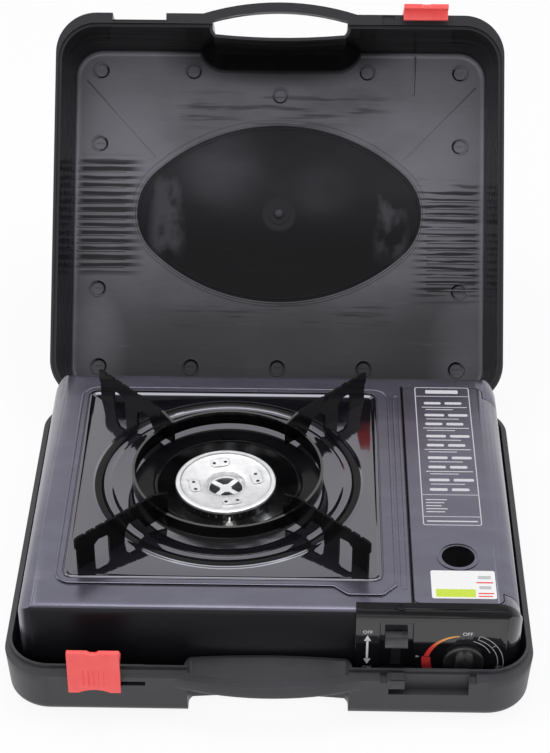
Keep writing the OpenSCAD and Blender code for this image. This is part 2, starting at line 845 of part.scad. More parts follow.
// Place of the cover, from the seam over the shoulder to the hinge
module cover_space(gap) {
    w = cover_step_x - cover_x + 2 * gap;
    d = cover_front + cover_back + 2 * gap;
    translate([(cover_x + cover_step_x) / 2, (cover_back - cover_front) / 2, 0])
        rplate(w, d, 5 + gap, stove_top - 12, 20);
    span([cover_step_x - 12, stove_w], [-flap_front - gap, flap_back + gap],
        [cover_hinge_z - gap, stove_top + 5]);
}

module cover_rolls(gap, own) {
    for (y = roll_y) {
        if (own)
            rod([cover_hinge_x, y - roll_l / 2 - gap, cover_hinge_z],
                [cover_hinge_x, y + roll_l / 2 + gap, cover_hinge_z], roll_r + gap);
        else
            for (s = [-1, 1])
                rod([cover_hinge_x, y + s * (roll_l / 2 + cover_gap) - (s < 0 ? roll_end_l : 0) - gap,
                     cover_hinge_z],
                    [cover_hinge_x, y + s * (roll_l / 2 + cover_gap) + (s < 0 ? 0 : roll_end_l) + gap,
                     cover_hinge_z],
                    roll_r + gap);
    }
}

module cover_bores() {
    for (y = roll_y)
        rod([cover_hinge_x, y - far / 8, cover_hinge_z], [cover_hinge_x, y + far / 8, cover_hinge_z],
            cover_pin_r + pin_gap);
}

module body_shell() {
    flank = stove_w / 2;
    color([0.09, 0.09, 0.10])
    difference() {
        union() {
            difference() {
                union() {
                    body_skin();
                    translate([0, 0, stove_top - 0.5]) linear_extrude(field_h + 0.5) field_outline(0);
                    // seat under the pan's edge
                    translate([pan_x, pan_y, 0])
                        rplate(pan_w + 2 * (pan_gap + sheet), pan_d + 2 * (pan_gap + sheet),
                               pan_corner_r + 2, pan_seat - sheet, sheet);
                }
                translate([pan_x, pan_y, 0]) {
                    rplate(pan_w + 2 * pan_gap, pan_d + 2 * pan_gap, pan_corner_r + pan_gap, pan_seat, 10);
                    rplate(pan_w - 2 * pan_ledge, pan_d - 2 * pan_ledge, pan_corner_r, pan_seat - 10, 20);
                }
                cover_space(cover_gap);
                // the side wall ends below the cover's hinge
                span([flank - 12, flank + 1], [-flap_front - cover_gap, flap_back + cover_gap],
                     [side_wall_top, cover_hinge_z + 1]);
            }
            // shelves that the cover's front and back edges rest on
            span([cover_x + 1, cover_step_x - 4], [cover_back - 4, cover_back + 6], [top_in - sheet, top_in]);
            span([cover_x + 1, cover_step_x - 4], [-cover_front - 4, -cover_front + 4],
                [top_in - sheet, top_in]);
            // rolled ends of the cover's hinge
            intersection() {
                cover_rolls(0, false);
                span([cover_hinge_x - roll_r, flank], [-flap_front, flap_back], [0, stove_top]);
            }
            for (y = roll_y, s = [-1, 1]) {
                y0 = y + s * (roll_l / 2 + cover_gap + roll_end_l / 2);
                span([flank - sheet, flank], [y0 - roll_end_l / 2, y0 + roll_end_l / 2],
                     [side_wall_top - 1, cover_hinge_z]);
            }
            // front opening's folded edge round the lever
            for (s = [-1, 1])
                span([lever_x + s * (slot_w / 2 + 3.5) - 0.5, lever_x + s * (slot_w / 2 + 3.5) + 0.5],
                     [-stove_front, -stove_front + 3.4], [recess_bottom, lever_z + lever_h + 4]);
        }
        cover_bores();
        // openings in the front for the lever and the spindle
        span([lever_x - slot_w / 2 - 3, lever_x + slot_w / 2 + 3], [-stove_front - 1, -stove_front + 5],
             [recess_bottom - 1, lever_z + lever_h + 5]);
        rod([knob_x, -stove_front - 1, knob_z], [knob_x, -stove_front + 5, knob_z], spindle_r + 3);
        // air slots in the back and the left side
        for (i = [0:9])
            translate([-110 + 18 * i, stove_back, 30]) rotate([90, 0, 0])
                linear_extrude(4 * sheet, center = true) rrect(4, 22, 1.9);
        for (i = [0:6])
            translate([-flank, -54 + 18 * i, 30]) rotate([90, 0, 90])
                linear_extrude(4 * sheet, center = true) rrect(4, 22, 1.9);
    }
}

module bottom_plate() {
    w = stove_w - 2 * sheet - 0.2;
    d = stove_d - 2 * sheet - 0.2;
    color([0.55, 0.56, 0.58])
    difference() {
        union() {
            translate([0, stove_mid_y, 0]) rplate(w, d, body_corner_r - sheet, body_z, sheet);
            span([trough_left - sheet, trough_right], [trough_front - sheet, trough_back + sheet],
                [trough_z, plate_z]);
        }
        span([trough_left, trough_right - sheet], [trough_front, trough_back],
            [trough_z + sheet, plate_z + 1]);
        for (i = [-4:4])
            translate([burner_x + 14 * i, burner_y, body_z]) linear_extrude(4 * sheet, center = true)
                rrect(5, 70, 2.4);
    }
}

module stove_feet() {
    color([0.05, 0.05, 0.05])
    for (x = [-foot_x, foot_x], y = [foot_front, foot_back])
        translate([x, y, case_floor]) {
            cylinder(h = foot_h - 1.5, r1 = foot_r - 1, r2 = foot_r);
            translate([0, 0, foot_h - 1.5]) cylinder(h = 1.5, r = foot_r);
        }
}

module partition_plate() {
    back = stove_back - sheet - 0.1;
    color([0.6, 0.6, 0.62])
    difference() {
        union() {
            along_x(partition_x, partition_x + sheet) polygon([
                [partition_front, plate_z], [back, plate_z], [back, top_in - edge_r],
                [stove_back - edge_r, top_in - 0.1], [partition_front, top_in - 0.1]
            ]);
            span([partition_x - partition_foot, partition_x], [partition_front, back],
                [plate_z, plate_z + sheet]);
            span([partition_x - partition_foot, partition_x], [partition_front, stove_back - edge_r],
                 [top_in - 0.1 - sheet, top_in - 0.1]);
        }
        translate([inlet_x, inlet_y, tube_z]) rotate([0, 90, tube_angle])
            cylinder(h = 60, r = tube_r + 3, center = true);
        for (i = [0:7])
            translate([partition_x, -40 + 20 * i, 40]) rotate([90, 0, 90])
                linear_extrude(4 * sheet, center = true) rrect(8, 30, 3.5);
    }
}

module canister_cover() {
    flank = stove_w / 2;
    color([0.10, 0.10, 0.11])
    difference() {
        union() {
            difference() {
                intersection() {
                    body_skin();
                    cover_space(0);
                }
                // room for the body's rolled ends
                for (y = roll_y, s = [-1, 1]) {
                    y0 = y + s * (roll_l / 2 + cover_gap + roll_end_l / 2);
                    reach = roll_end_l / 2 + cover_gap;
                    span([flank - 8, flank + 1], [y0 - reach, y0 + reach],
                         [cover_hinge_z - 5, cover_hinge_z + roll_r + 1]);
                }
            }
            // flange that stiffens the free edge
            span([cover_x, cover_x + sheet], [-cover_front + 6, cover_back - 6], [top_in - 5, top_in + 0.1]);
            intersection() {
                cover_rolls(0, true);
                span([cover_hinge_x - roll_r, flank], [-flap_front, flap_back], [0, stove_top]);
            }
            // raised collar of the finger hole
            translate([finger_x, finger_y, stove_top - 0.2]) difference() {
                cylinder(h = 0.9, r = finger_r + 3.6);
                translate([0, 0, -1]) cylinder(h = 3, r = finger_r + 1.8);
            }
        }
        translate([finger_x, finger_y, stove_top - 5]) cylinder(h = 10, r = finger_r);
        cover_bores();
    }
}

module cover_hinge_pins() {
    half = roll_l / 2 + cover_gap + roll_end_l;
    color([0.7, 0.7, 0.72])
    for (y = roll_y)
        rod([cover_hinge_x, y - half, cover_hinge_z], [cover_hinge_x, y + half, cover_hinge_z], cover_pin_r);
}

// ---- controls ----

module control_panel() {
    color([0.08, 0.08, 0.09])
    difference() {
        intersection() {
            stove_block(panel_bottom, panel_wrap, panel_t, 0, panel_top - stove_top);
            span([panel_x, stove_w], [panel_y - 1, panel_back], [panel_bottom, stove_top + 5]);
        }
        stove_block(0, panel_fit, panel_fit, panel_fit, panel_fit);
        // shallow track and through slot of the lever
        span([lever_x - recess_w / 2, lever_x + recess_w / 2], [panel_y - 1, panel_y + recess_t],
             [recess_bottom, recess_top]);
        span([lever_x - slot_w / 2, lever_x + slot_w / 2], [panel_y - 1, panel_y + 6],
             [recess_bottom + 1.5, lever_z + lever_h + 1]);
        rod([knob_x, panel_y - 1, knob_z], [knob_x, panel_y + 6, knob_z], spindle_r + 1.5);
        translate([panel_screw_x, panel_screw_y, stove_top - 3]) cylinder(h = 10, r = 1.6);
    }
}

module panel_screw() {
    color([0.8, 0.8, 0.8])
    translate([panel_screw_x, panel_screw_y, 0]) difference() {
        union() {
            translate([0, 0, panel_top]) cylinder(h = 1.4, r1 = 3.2, r2 = 2.4);
            translate([0, 0, stove_top + panel_fit]) cylinder(h = panel_top - stove_top, r = 1.5);
        }
        for (a = [0, 90]) rotate([0, 0, a])
            translate([0, 0, panel_top + 1.4]) cube([3.4, 0.8, 1.4], center = true);
    }
}

module control_knob() {
    front = panel_y - knob_out;
    color([0.04, 0.04, 0.05])
    difference() {
        union() {
            translate([knob_x, panel_y - 0.4, knob_z]) rotate([90, 0, 0]) {
                cylinder(h = 2.2, r = knob_r);
                translate([0, 0, 2.2]) cylinder(h = 1, r1 = knob_r, r2 = knob_r - 1);
            }
            // grip bar with round ends
            translate([knob_x, panel_y - 3, knob_z]) rotate([90, 0, 0])
                linear_extrude(knob_out - 3) rrect(knob_grip_w, 2 * knob_r - 3, knob_grip_w / 2 - 1.5);
        }
        rod([knob_x, front + 2, knob_z], [knob_x, panel_y + 1, knob_z], spindle_r + 0.05);
        translate([knob_x - 0.9, front - 1, knob_z + 4]) cube([1.8, 1.6, far]);
    }
}

module valve_spindle() {
    color([0.75, 0.65, 0.35])
    rod([knob_x, panel_y - knob_out + 2.5, knob_z], [knob_x, -stove_front + 16, knob_z], spindle_r);
}

module regulator_body() {
    color([0.70, 0.71, 0.73])
    difference() {
        union() {
            span([reg_left, reg_right], [reg_front, reg_back], [reg_z0, reg_z1]);
            // diaphragm housing
            translate([canister_x + 6, (reg_front + reg_back) / 2, reg_z1 - 1]) cylinder(h = 9, r = 13);
            rod([knob_x, -stove_front + sheet + 0.4, knob_z], [knob_x, reg_front + 1, knob_z], 9);
            // outlet boss
            span([reg_left - 6, reg_left + 12], [inlet_y - 8, reg_back], [reg_z1 - 6, tube_z + 7]);
            // feet on the bottom plate
            for (x = [reg_left + 5, reg_right - 5])
                translate([x, (reg_front + reg_back) / 2, plate_z]) cylinder(h = reg_z0 - plate_z + 1, r = 4);
        }
        rod([knob_x, reg_front - 10, knob_z], [knob_x, -stove_front + 17, knob_z], spindle_r + 0.06);
    }
}

module canister_socket() {
    color([0.80, 0.68, 0.35])
    translate([canister_x, reg_back, canister_z]) rotate([-90, 0, 0]) difference() {
        union() {
            cylinder(h = 3, r = 10.5);
            cylinder(h = 5, r = 7);
        }
        translate([0, 0, 1]) cylinder(h = 6, r = 2.5);
        translate([-1.2, 6, -1]) cube([2.4, 6, 8]);
    }
}

module injector() {
    tip = [inlet_x + 8, inlet_y - 3.5, tube_z];
    color([0.85, 0.70, 0.35]) {
        difference() {
            rod([reg_left - 6, tip[1], tube_z], [tip[0] - 2, tip[1], tube_z], 2.4);
            rod([reg_left - 4, tip[1], tube_z], [tip[0] - 3, tip[1], tube_z], 0.6);
        }
        translate([reg_left - 9, tip[1], tube_z]) rotate([0, 90, 0]) cylinder(h = 2.4, r = 4, $fn = 6);
    }
}

module tube_frame() {
    translate([inlet_x, inlet_y, tube_z]) rotate([0, 0, tube_angle]) rotate([0, 90, 0]) children();
}

module mixing_tube() {
    color([0.62, 0.63, 0.66])
    tube_frame() difference() {
        union() {
            cylinder(h = tube_l, r = tube_r);
            cylinder(h = 10, r1 = tube_r + 2, r2 = tube_r);
        }
        translate([0, 0, -1]) cylinder(h = tube_l + 2, r = tube_r - 1.2);
        for (a = [0, 180]) rotate([0, 0, a]) translate([0, -3, 14]) cube([tube_r + 2, 6, 12]);
    }
}

module air_shutter() {
    color([0.70, 0.70, 0.73])
    tube_frame() difference() {
        translate([0, 0, 28]) cylinder(h = 9, r = tube_r + 1.3);
        translate([0, 0, 27]) cylinder(h = 11, r = tube_r + 0.1);
        translate([0, -1, 27]) cube([tube_r + 4, 2, 11]);
    }
}

// ---- burner ----

module burner_bowl() {
    floor_z = head_under - bowl_h;
    color([0.68, 0.69, 0.71])
    difference() {
        translate([burner_x, burner_y, floor_z]) rotate_extrude() {
            difference() {
                union() {
                    square([bowl_r - 5, bowl_h]);
                    translate([0, 5]) square([bowl_r, bowl_h - 5]);
                    translate([bowl_r - 5, 5]) circle(5);
                    translate([0, bowl_h - 1.2]) square([burner_r - 1, 1.2]);
                }
                translate([-1, 1.6]) square([bowl_r - 4.6, bowl_h]);
                translate([-1, 6]) square([bowl_r - 0.6, bowl_h]);
            }
        }
        tube_frame() cylinder(h = tube_l + 6, r = tube_r + 0.1);
    }
}

module burner_head() {
    rim_in = burner_r - 3.4;
    hub_floor = head_top - 7.4;
    skin = 1.2;
    color([0.93, 0.93, 0.94])
    translate([burner_x, burner_y, 0]) difference() {
        union() {
            rotate_extrude($fn = 120) difference() {
                union() {
                    translate([0, head_under]) square([burner_r, head_h - 1.2]);
                    translate([burner_r - 1.2, head_top - 1.2]) circle(1.2, $fn = 32);
                    translate([0, head_top - 1.2]) square([burner_r - 1.2, 1.2]);
                }
                // sloping top with a sunk hub
                polygon([
                    [-1, hub_floor], [13.6, hub_floor], [15, head_top - 2.6], [rim_in, head_top - 1],
                    [rim_in, head_top + 1], [-1, head_top + 1]
                ]);
                // hollow underside
                polygon([
                    [-1, head_under - 1], [burner_r - 1.4, head_under - 1], [burner_r - 1.4, head_top - 2.6],
                    [16.4, head_top - 2.7 - skin], [15, hub_floor - skin], [-1, hub_floor - skin]
                ]);
            }
            // raised lances that break the flame ring
            for (a = [0, 90, 180, 270]) rotate([0, 0, a + lance_turn]) translate([lance_r, 0, head_top - 2.6])
                rotate([0, -4, 0]) linear_extrude(1.7) rrect(8, 14, 2.5);
        }
        for (a = [0, 90, 180, 270], s = [-1, 1]) rotate([0, 0, a + lance_turn])
            translate([lance_r, lance_hole_x * s, head_top - head_h])
                cylinder(h = 2 * head_h, r = lance_hole_r);
        // sector holes round the hub, with spokes between them
        translate([0, 0, hub_floor - 5]) linear_extrude(10) difference() {
            circle(hub_hole[1]);
            circle(hub_hole[0]);
            for (a = [hub_turn, hub_turn + 90])
                rotate(a) square([4 * hub_hole[1], hub_spoke], center = true);
        }
        for (i = [0:port_count - 1]) rotate([0, 0, i * 360 / port_count])
            translate([burner_r - 3, -port_w / 2, head_under + 2]) cube([6, port_w, 3.4]);
    }
}

module burner_bracket() {
    floor_z = head_under - bowl_h;
    width = [-bracket_w, bracket_w];
    color([0.6, 0.6, 0.62])
    translate([burner_x, burner_y, 0]) {
        span([-bracket_half, bracket_half], width, [floor_z - bracket_t, floor_z]);
        for (s = [0, 1]) mirror([s, 0, 0]) {
            span([bracket_half - bracket_t, bracket_half], width, [plate_z, floor_z]);
            span([bracket_half - bracket_t, bracket_half + bracket_foot], width,
                [plate_z, plate_z + bracket_t]);
        }
    }
}

module electrode() {
    foot = electrode_foot;
    tip = head_top - 4;
    color([0.92, 0.92, 0.90]) {
        translate([electrode_x, electrode_y, foot]) cylinder(h = 16, r = 2.6);
        translate([electrode_x, electrode_y, foot + 16]) cylinder(h = 2, r1 = 2.6, r2 = 1.2);
    }
    color([0.7, 0.7, 0.72]) {
        rod([electrode_x, electrode_y, foot + 17], [electrode_x, electrode_y, tip + 1.2], 0.9);
        rod([electrode_x, electrode_y, tip], [electrode_x, electrode_y + 5.4, tip + 0.6], 0.7);
        // strap that holds the electrode on the bowl
        difference() {
            span([electrode_x - 5, electrode_x + 5], [electrode_y - 4, burner_y - bowl_r + 1.2],
                 [foot + 4, foot + 5.2]);
            translate([burner_x, burner_y, 0]) cylinder(h = far, r = bowl_r + 0.1);
        }
    }
}

module piezo_igniter() {
    color([0.15, 0.15, 0.17]) {
        span(piezo_x, piezo_y, piezo_z);
        translate([piezo_x[0] - 4, (piezo_y[0] + piezo_y[1]) / 2, piezo_z[0] + 5.5]) rotate([0, 90, 0])
            cylinder(h = 4, r = 3);
    }
}

module igniter_lead() {
    start = [piezo_x[0] - 4, (piezo_y[0] + piezo_y[1]) / 2, piezo_z[0] + 5.5];
    finish = [electrode_x, electrode_y, electrode_foot];
    route = concat([start], lead_route, [finish]);
    color([0.85, 0.20, 0.15])
    for (i = [0:len(route) - 2]) {
        r = lead_r + 0.15 * (i % 2);
        run = route[i + 1] - route[i];
        over = run / norm(run) * (i < len(route) - 2 ? r * 0.9 : 0);
        rod(route[i], route[i + 1] + over, r);
    }
}

// ---- canister lock ----

module lock_lever() {
    z0 = lever_z;
    slot_slope = carriage_travel / lever_travel;
    cam_z0 = cam_pin_z - 5;
    cam_z1 = cam_pin_z + lever_travel + 5;
    color([0.13, 0.13, 0.14]) {
        difference() {
            span([lever_x - lever_w / 2, lever_x + lever_w / 2],
                [panel_y - lever_out, panel_y + recess_t - 0.3],
                 [z0, z0 + lever_h]);
            // finger hollow across the button
            rod([lever_x - far / 8, panel_y - lever_out - 6, z0 + lever_h / 2 + 0.5],
                [lever_x + far / 8, panel_y - lever_out - 6, z0 + lever_h / 2 + 0.5], 7.6);
        }
        span([lever_x - lever_stem, lever_x + lever_stem], [panel_y + recess_t - 0.4, -stove_front + 4.6],
            [z0 + 2, z0 + lever_h - 2]);
        span([lever_x - lever_stem, cam_x + cam_t], [-stove_front + 4.5, -stove_front + 6],
            [z0 + 2, z0 + lever_h - 2]);
        difference() {
            span([cam_x, cam_x + cam_t], [-stove_front + 4.5, cam_pin_y + 5], [cam_z0, cam_z1]);
            hull_slot([cam_pin_y, cam_pin_z],
                [cam_pin_y - slot_slope * lever_travel, cam_pin_z + lever_travel],
                      cam_pin_r + cam_fit);
        }
    }
}

// Slot with round ends through the cam plate, drawn in Y and Z
module hull_slot(from, to, r) {
    run = to - from;
    len = norm(run);
    translate([cam_x - 1, from[0], from[1]]) rotate([atan2(run[1], run[0]), 0, 0])
        rotate([90, 0, 90]) linear_extrude(cam_t + 2) {
            circle(r);
            translate([0, -r]) square([len, 2 * r]);
            translate([len, 0]) circle(r);
        }
}

module canister_carriage() {
    back = canister_back + 1;
    color([0.72, 0.73, 0.75]) {
        span([arm_x, arm_x + arm_t], [cam_pin_y - 4, back + 6], [arm_z0, arm_z0 + arm_h]);
        span([arm_x, arm_x + arm_t], [cam_pin_y - 4, cam_pin_y + 4], [arm_z0, cam_pin_z + 4]);
        rod([cam_x - 1, cam_pin_y, cam_pin_z], [arm_x + 0.1, cam_pin_y, cam_pin_z], cam_pin_r);
        // pusher behind the canister
        difference() {
            span([arm_x, canister_x + pusher_half], [back, back + arm_t], [arm_z0, canister_z + pusher_h]);
            rod([canister_x, back - 5, canister_z], [canister_x, back + 5, canister_z], 14);
        }
        span([canister_x + pusher_foot[0], canister_x + pusher_half], [back - pusher_foot[1], back + arm_t],
             [trough_z + sheet, trough_z + 2 * sheet]);
        span([canister_x + pusher_foot[0], canister_x + pusher_half], [back, back + arm_t],
             [trough_z + sheet, arm_z0 + 1]);
    }
}

module carriage_guides() {
    color([0.6, 0.6, 0.62])
    for (y = guide_y) {
        span([trough_left + 0.2, arm_x + arm_t + 2.2], [y, y + guide_l], [trough_z + sheet, arm_z0 - 0.3]);
        span([trough_left + 0.2, arm_x - 0.4], [y, y + guide_l], [arm_z0 - 1, arm_z0 + arm_h + 1.5]);
        span([arm_x + arm_t + 0.4, arm_x + arm_t + 1.6], [y, y + guide_l], [arm_z0 - 1, arm_z0 + 4]);
    }
}

// ---- pan and support ----

// Ring of sheet metal turned from the points of its upper face
module pressed_ring(points, t) {
    under = [for (i = [len(points) - 1:-1:0]) [points[i][0], points[i][1] - t]];
    rotate_extrude($fn = 128) polygon(concat(points, under));
}

module drip_pan() {
    out = pan_ring_r + 1.5;
    ring_in = pan_ring_r - pan_ring_w;
    color([0.05, 0.05, 0.055])
    translate([pan_x, pan_y, 0]) {
        difference() {
            rplate(pan_w, pan_d, pan_corner_r, pan_seat, pan_sheet);
            translate([0, 0, pan_seat - 1]) cylinder(h = 5, r = out, $fn = 128);
        }
        pressed_ring([
            [out + 0.01, pan_top], [pan_ring_r, pan_top + pan_ring_h * 0.8],
            [pan_ring_r - 1.5, pan_top + pan_ring_h],
            [ring_in + 1.5, pan_top + pan_ring_h], [ring_in, pan_top + pan_ring_h * 0.7],
            [ring_in - 4, pan_top - 0.6], [pan_hole_r + 8, pan_top - pan_dip],
            [pan_hole_r + 3, pan_top - pan_dip], [pan_hole_r + 0.8, pan_top - pan_dip + 2.2],
            [pan_hole_r, pan_top - pan_dip + 2.2]
        ], pan_sheet);
    }
}

// A leg seen from its side: distance from the middle and height
module leg_outline() {
    top = stove_top + field_h + support_h;
    foot = pan_top;
    post_in = leg_reach - 17;
    post2_out = leg_reach - 31;
    post2_in = leg_reach - 45;
    difference() {
        polygon([
            [leg_inner_r, foot + 3], [leg_inner_r, top - 6], [leg_inner_r + 14, top - 1.2],
            [leg_reach - 3, top], [leg_reach, top - 1], [leg_reach, top - 9], [leg_reach - 1.5, top - 12],
            [leg_reach - 1.5, foot], [post_in, foot], [post_in, foot + 14], [post_in - 4, foot + 17],
            [post2_out + 2, foot + 16], [post2_out, foot + 13], [post2_out, foot], [post2_in, foot],
            [post2_in - 1, foot + 10], [post2_in - 5, foot + 15], [post2_in - 13, foot + 14.5],
            [post2_in - 21, foot + 2.4]
        ]);
        for (i = [0:notch_count - 1])
            translate([leg_inner_r + 24 + i * (leg_reach - leg_inner_r - 34) / (notch_count - 1),
                       top - notch_h * 0.3])
                circle(notch_h, $fn = 16);
    }
}

module pan_support() {
    top = stove_top + field_h + support_h;
    color([0.06, 0.06, 0.065])
    translate([pan_x, pan_y, 0]) {
        for (a = [45, 135, 225, 315]) rotate([0, 0, a]) rotate([90, 0, 0])
            linear_extrude(leg_t, center = true) leg_outline();
        difference() {
            translate([0, 0, field_top + 1.5]) cylinder(h = wind_h, r = wind_r, $fn = 120);
            translate([0, 0, field_top]) cylinder(h = wind_h + 5, r = wind_r - wind_t, $fn = 120);
        }
        // rolled upper and lower edges of the wind ring
        for (z = [field_top + 1.5, field_top + 0.7 + wind_h])
            translate([0, 0, z]) difference() {
                cylinder(h = 0.8, r = wind_r + 0.8, $fn = 120);
                translate([0, 0, -1]) cylinder(h = 3, r = wind_r - wind_t, $fn = 120);
            }
    }
}

case_base();
case_lid();
case_hinge_pins();
base_latch();
lid_latch();
body_shell();
bottom_plate();
stove_feet();
partition_plate();
canister_cover();
cover_hinge_pins();
control_panel();
panel_screw();
control_knob();
valve_spindle();
regulator_body();
canister_socket();
injector();
mixing_tube();
air_shutter();
burner_bowl();
burner_head();
burner_bracket();
electrode();
piezo_igniter();
igniter_lead();
lock_lever();
canister_carriage();
carriage_guides();
drip_pan();
pan_support();
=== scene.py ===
import json
import math

import bpy
import bmesh
from mathutils import Matrix, Vector


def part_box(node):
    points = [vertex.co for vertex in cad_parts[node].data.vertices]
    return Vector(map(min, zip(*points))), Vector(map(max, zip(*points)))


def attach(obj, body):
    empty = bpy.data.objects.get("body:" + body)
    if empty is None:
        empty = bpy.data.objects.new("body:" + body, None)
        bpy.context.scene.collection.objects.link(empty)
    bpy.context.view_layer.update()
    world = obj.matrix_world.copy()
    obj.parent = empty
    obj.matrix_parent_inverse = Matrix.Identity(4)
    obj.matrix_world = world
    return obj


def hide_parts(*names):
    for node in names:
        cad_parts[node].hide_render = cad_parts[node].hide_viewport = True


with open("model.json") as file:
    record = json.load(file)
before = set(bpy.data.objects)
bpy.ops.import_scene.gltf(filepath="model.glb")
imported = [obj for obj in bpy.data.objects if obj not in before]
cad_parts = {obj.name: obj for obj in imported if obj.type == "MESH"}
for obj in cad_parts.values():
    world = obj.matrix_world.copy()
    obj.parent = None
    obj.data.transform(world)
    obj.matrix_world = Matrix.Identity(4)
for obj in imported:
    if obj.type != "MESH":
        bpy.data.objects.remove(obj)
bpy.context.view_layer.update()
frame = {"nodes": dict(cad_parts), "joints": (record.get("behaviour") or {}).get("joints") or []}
print("frame loaded")

mm = 0.001
nodes = frame["nodes"]
lidJoint = next(j for j in frame["joints"] if j["name"] == "lid_hinge")
lidHinge = Vector(lidJoint["pos_m"])
lidAngle = math.radians(-lidJoint["range_deg"][0])
lidLean = lidAngle - math.pi / 2
lidOpen = (
    Matrix.Translation(lidHinge)
    @ Matrix.Rotation(-lidAngle, 4, "X")
    @ Matrix.Translation(-lidHinge)
)


def addObject(name, data):
    item = bpy.data.objects.new(name, data)
    bpy.context.scene.collection.objects.link(item)
    return item


# cameras and lamps look along their own -Z
def pointAlong(item, heading):
    item.rotation_mode = "QUATERNION"
    item.rotation_quaternion = Vector(heading).to_track_quat("-Z", "Y")


cameraLook = {
    "place": (0.0209, -1.2295, 1.0514),
    "heading": (-0.0158, 0.8051, -0.5755),
    "lens": 99.15,
    "shiftX": 0.0096,
    "shiftY": 0.0125,
}
cameraData = bpy.data.cameras.new("camera")
cameraData.lens = cameraLook["lens"]
cameraData.shift_x = cameraLook["shiftX"]
cameraData.shift_y = cameraLook["shiftY"]
camera = addObject("camera", cameraData)
camera.location = cameraLook["place"]
pointAlong(camera, cameraLook["heading"])
bpy.context.scene.camera = camera


# shader tools
class Wire:
    def __init__(self, finish, socket):
        self.finish = finish
        self.socket = socket

    def maths(self, operation, first, second=0.0):
        return self.finish.add("ShaderNodeMath", {"operation": operation}, {0: first, 1: second})[0]

    def __add__(self, other):
        return self.maths("ADD", self, other)

    def __radd__(self, other):
        return self.maths("ADD", other, self)

    def __sub__(self, other):
        return self.maths("SUBTRACT", self, other)

    def __rsub__(self, other):
        return self.maths("SUBTRACT", other, self)

    def __mul__(self, other):
        return self.maths("MULTIPLY", self, other)

    def __rmul__(self, other):
        return self.maths("MULTIPLY", other, self)

    def __truediv__(self, other):
        return self.maths("DIVIDE", self, other)

    def __pow__(self, other):
        return self.maths("POWER", self, other)

    def sine(self):
        return self.maths("SINE", self)

    def size(self):
        return self.maths("ABSOLUTE", self)

    def atMost(self, other):
        return self.maths("MINIMUM", self, other)

    def atLeast(self, other):
        return self.maths("MAXIMUM", self, other)

    def step(self, low, high, start=0.0, end=1.0):
        return self.finish.add(
            "ShaderNodeMapRange",
            {"interpolation_type": "SMOOTHSTEP"},
            {"Value": self, "From Min": low, "From Max": high, "To Min": start, "To Max": end},
        )[0]

    # 1 up to full from a place, 0 beyond reach
    def near(self, place, full, reach):
        return (self - place).size().step(reach, full)

    def inside(self, radius, soft):
        return self.step(radius + soft, radius - soft)

    def across(self, other):
        return (self ** 2.0 + other ** 2.0) ** 0.5


class Added:
    def __init__(self, finish, node):
        self.finish = finish
        self.node = node

    def __getitem__(self, name):
        return Wire(self.finish, self.node.outputs[name])


class Finish:
    def __init__(self, name, tree=None):
        if tree is None:
            self.material = bpy.data.materials.new(name)
            self.material.use_nodes = True
            tree = self.material.node_tree
        self.tree = tree
        self.tree.nodes.clear()

    def add(self, kind, settings=None, inputs=None):
        node = self.tree.nodes.new(kind)
        for key, value in (settings or {}).items():
            setattr(node, key, value)
        for key, value in (inputs or {}).items():
            if isinstance(value, Wire):
                self.tree.links.new(value.socket, node.inputs[key])
            elif isinstance(value, tuple) and len(value) == 3 and node.inputs[key].type == "RGBA":
                node.inputs[key].default_value = (*value, 1.0)
            else:
                node.inputs[key].default_value = value
        return Added(self, node)

    def place(self):
        return self.add("ShaderNodeTexCoord")["Object"]

    def facing(self):
        return self.add("ShaderNodeTexCoord")["Normal"]

    def parts(self, vector):
        split = self.add("ShaderNodeSeparateXYZ", None, {0: vector})
        return split[0], split[1], split[2]

    def join(self, x, y, z):
        return self.add("ShaderNodeCombineXYZ", None, {0: x, 1: y, 2: z})[0]

    def stretch(self, vector, scale):
        return self.add("ShaderNodeMapping", {"vector_type": "POINT"}, {"Vector": vector, "Scale": scale})[0]

    def noise(self, vector, scale, detail=3.0, rough=0.5):
        return self.add(
            "ShaderNodeTexNoise", None,
            {"Vector": vector, "Scale": scale, "Detail": detail, "Roughness": rough},
        )["Fac"]

    # fine scratches that run round a moulding
    def scuffs(self, vector):
        return self.noise(self.stretch(vector, (1.0, 14.0, 9.0)), 26.0, 5.0, 0.7).step(0.60, 0.74)

    def blend(self, amount, first, second):
        return self.add("ShaderNodeMix", {"data_type": "RGBA"}, {0: amount, 6: first, 7: second})[2]

    def bump(self, height, distance, under=None):
        inputs = {"Height": height, "Distance": distance, "Strength": 1.0}
        if under is not None:
            inputs["Normal"] = under
        return self.add("ShaderNodeBump", None, inputs)[0]

    # what the camera, a reflection or a clear part sees
    def seen(self):
        rays = self.add("ShaderNodeLightPath")
        return rays["Is Camera Ray"].atLeast(rays["Is Glossy Ray"]).atLeast(rays["Is Transmission Ray"])

    def surface(self, inputs):
        shader = self.add("ShaderNodeBsdfPrincipled", None, inputs)
        self.add("ShaderNodeOutputMaterial", None, {"Surface": shader[0]})
        return self.material


# finishes
def mouldedPlastic(name, look):
    f = Finish(name)
    p = f.place()
    cloud = f.noise(p, look["cloudScale"], 4.0, 0.55)
    grain = f.noise(p, look["grainScale"], 2.0, 0.6)
    flow = f.noise(f.stretch(p, look["flow"]), 60.0, 3.0, 0.6)
    scuff = f.scuffs(p)
    tone = f.blend(cloud.step(0.3, 0.75), look["dark"], look["light"])
    return f.surface({
        "Base Color": f.blend(scuff * look["scuff"], tone, look["scuffColour"]),
        "Roughness": look["rough"] + (cloud - 0.5) * 0.16 + scuff * 0.10,
        "IOR": 1.49,
        "Coat Weight": look["coat"],
        "Coat Roughness": look["coatRough"],
        "Normal": f.bump(grain, look["grainDepth"], f.bump(flow, look["flowDepth"])),
    })


dustColour = (0.5, 0.5, 0.52)


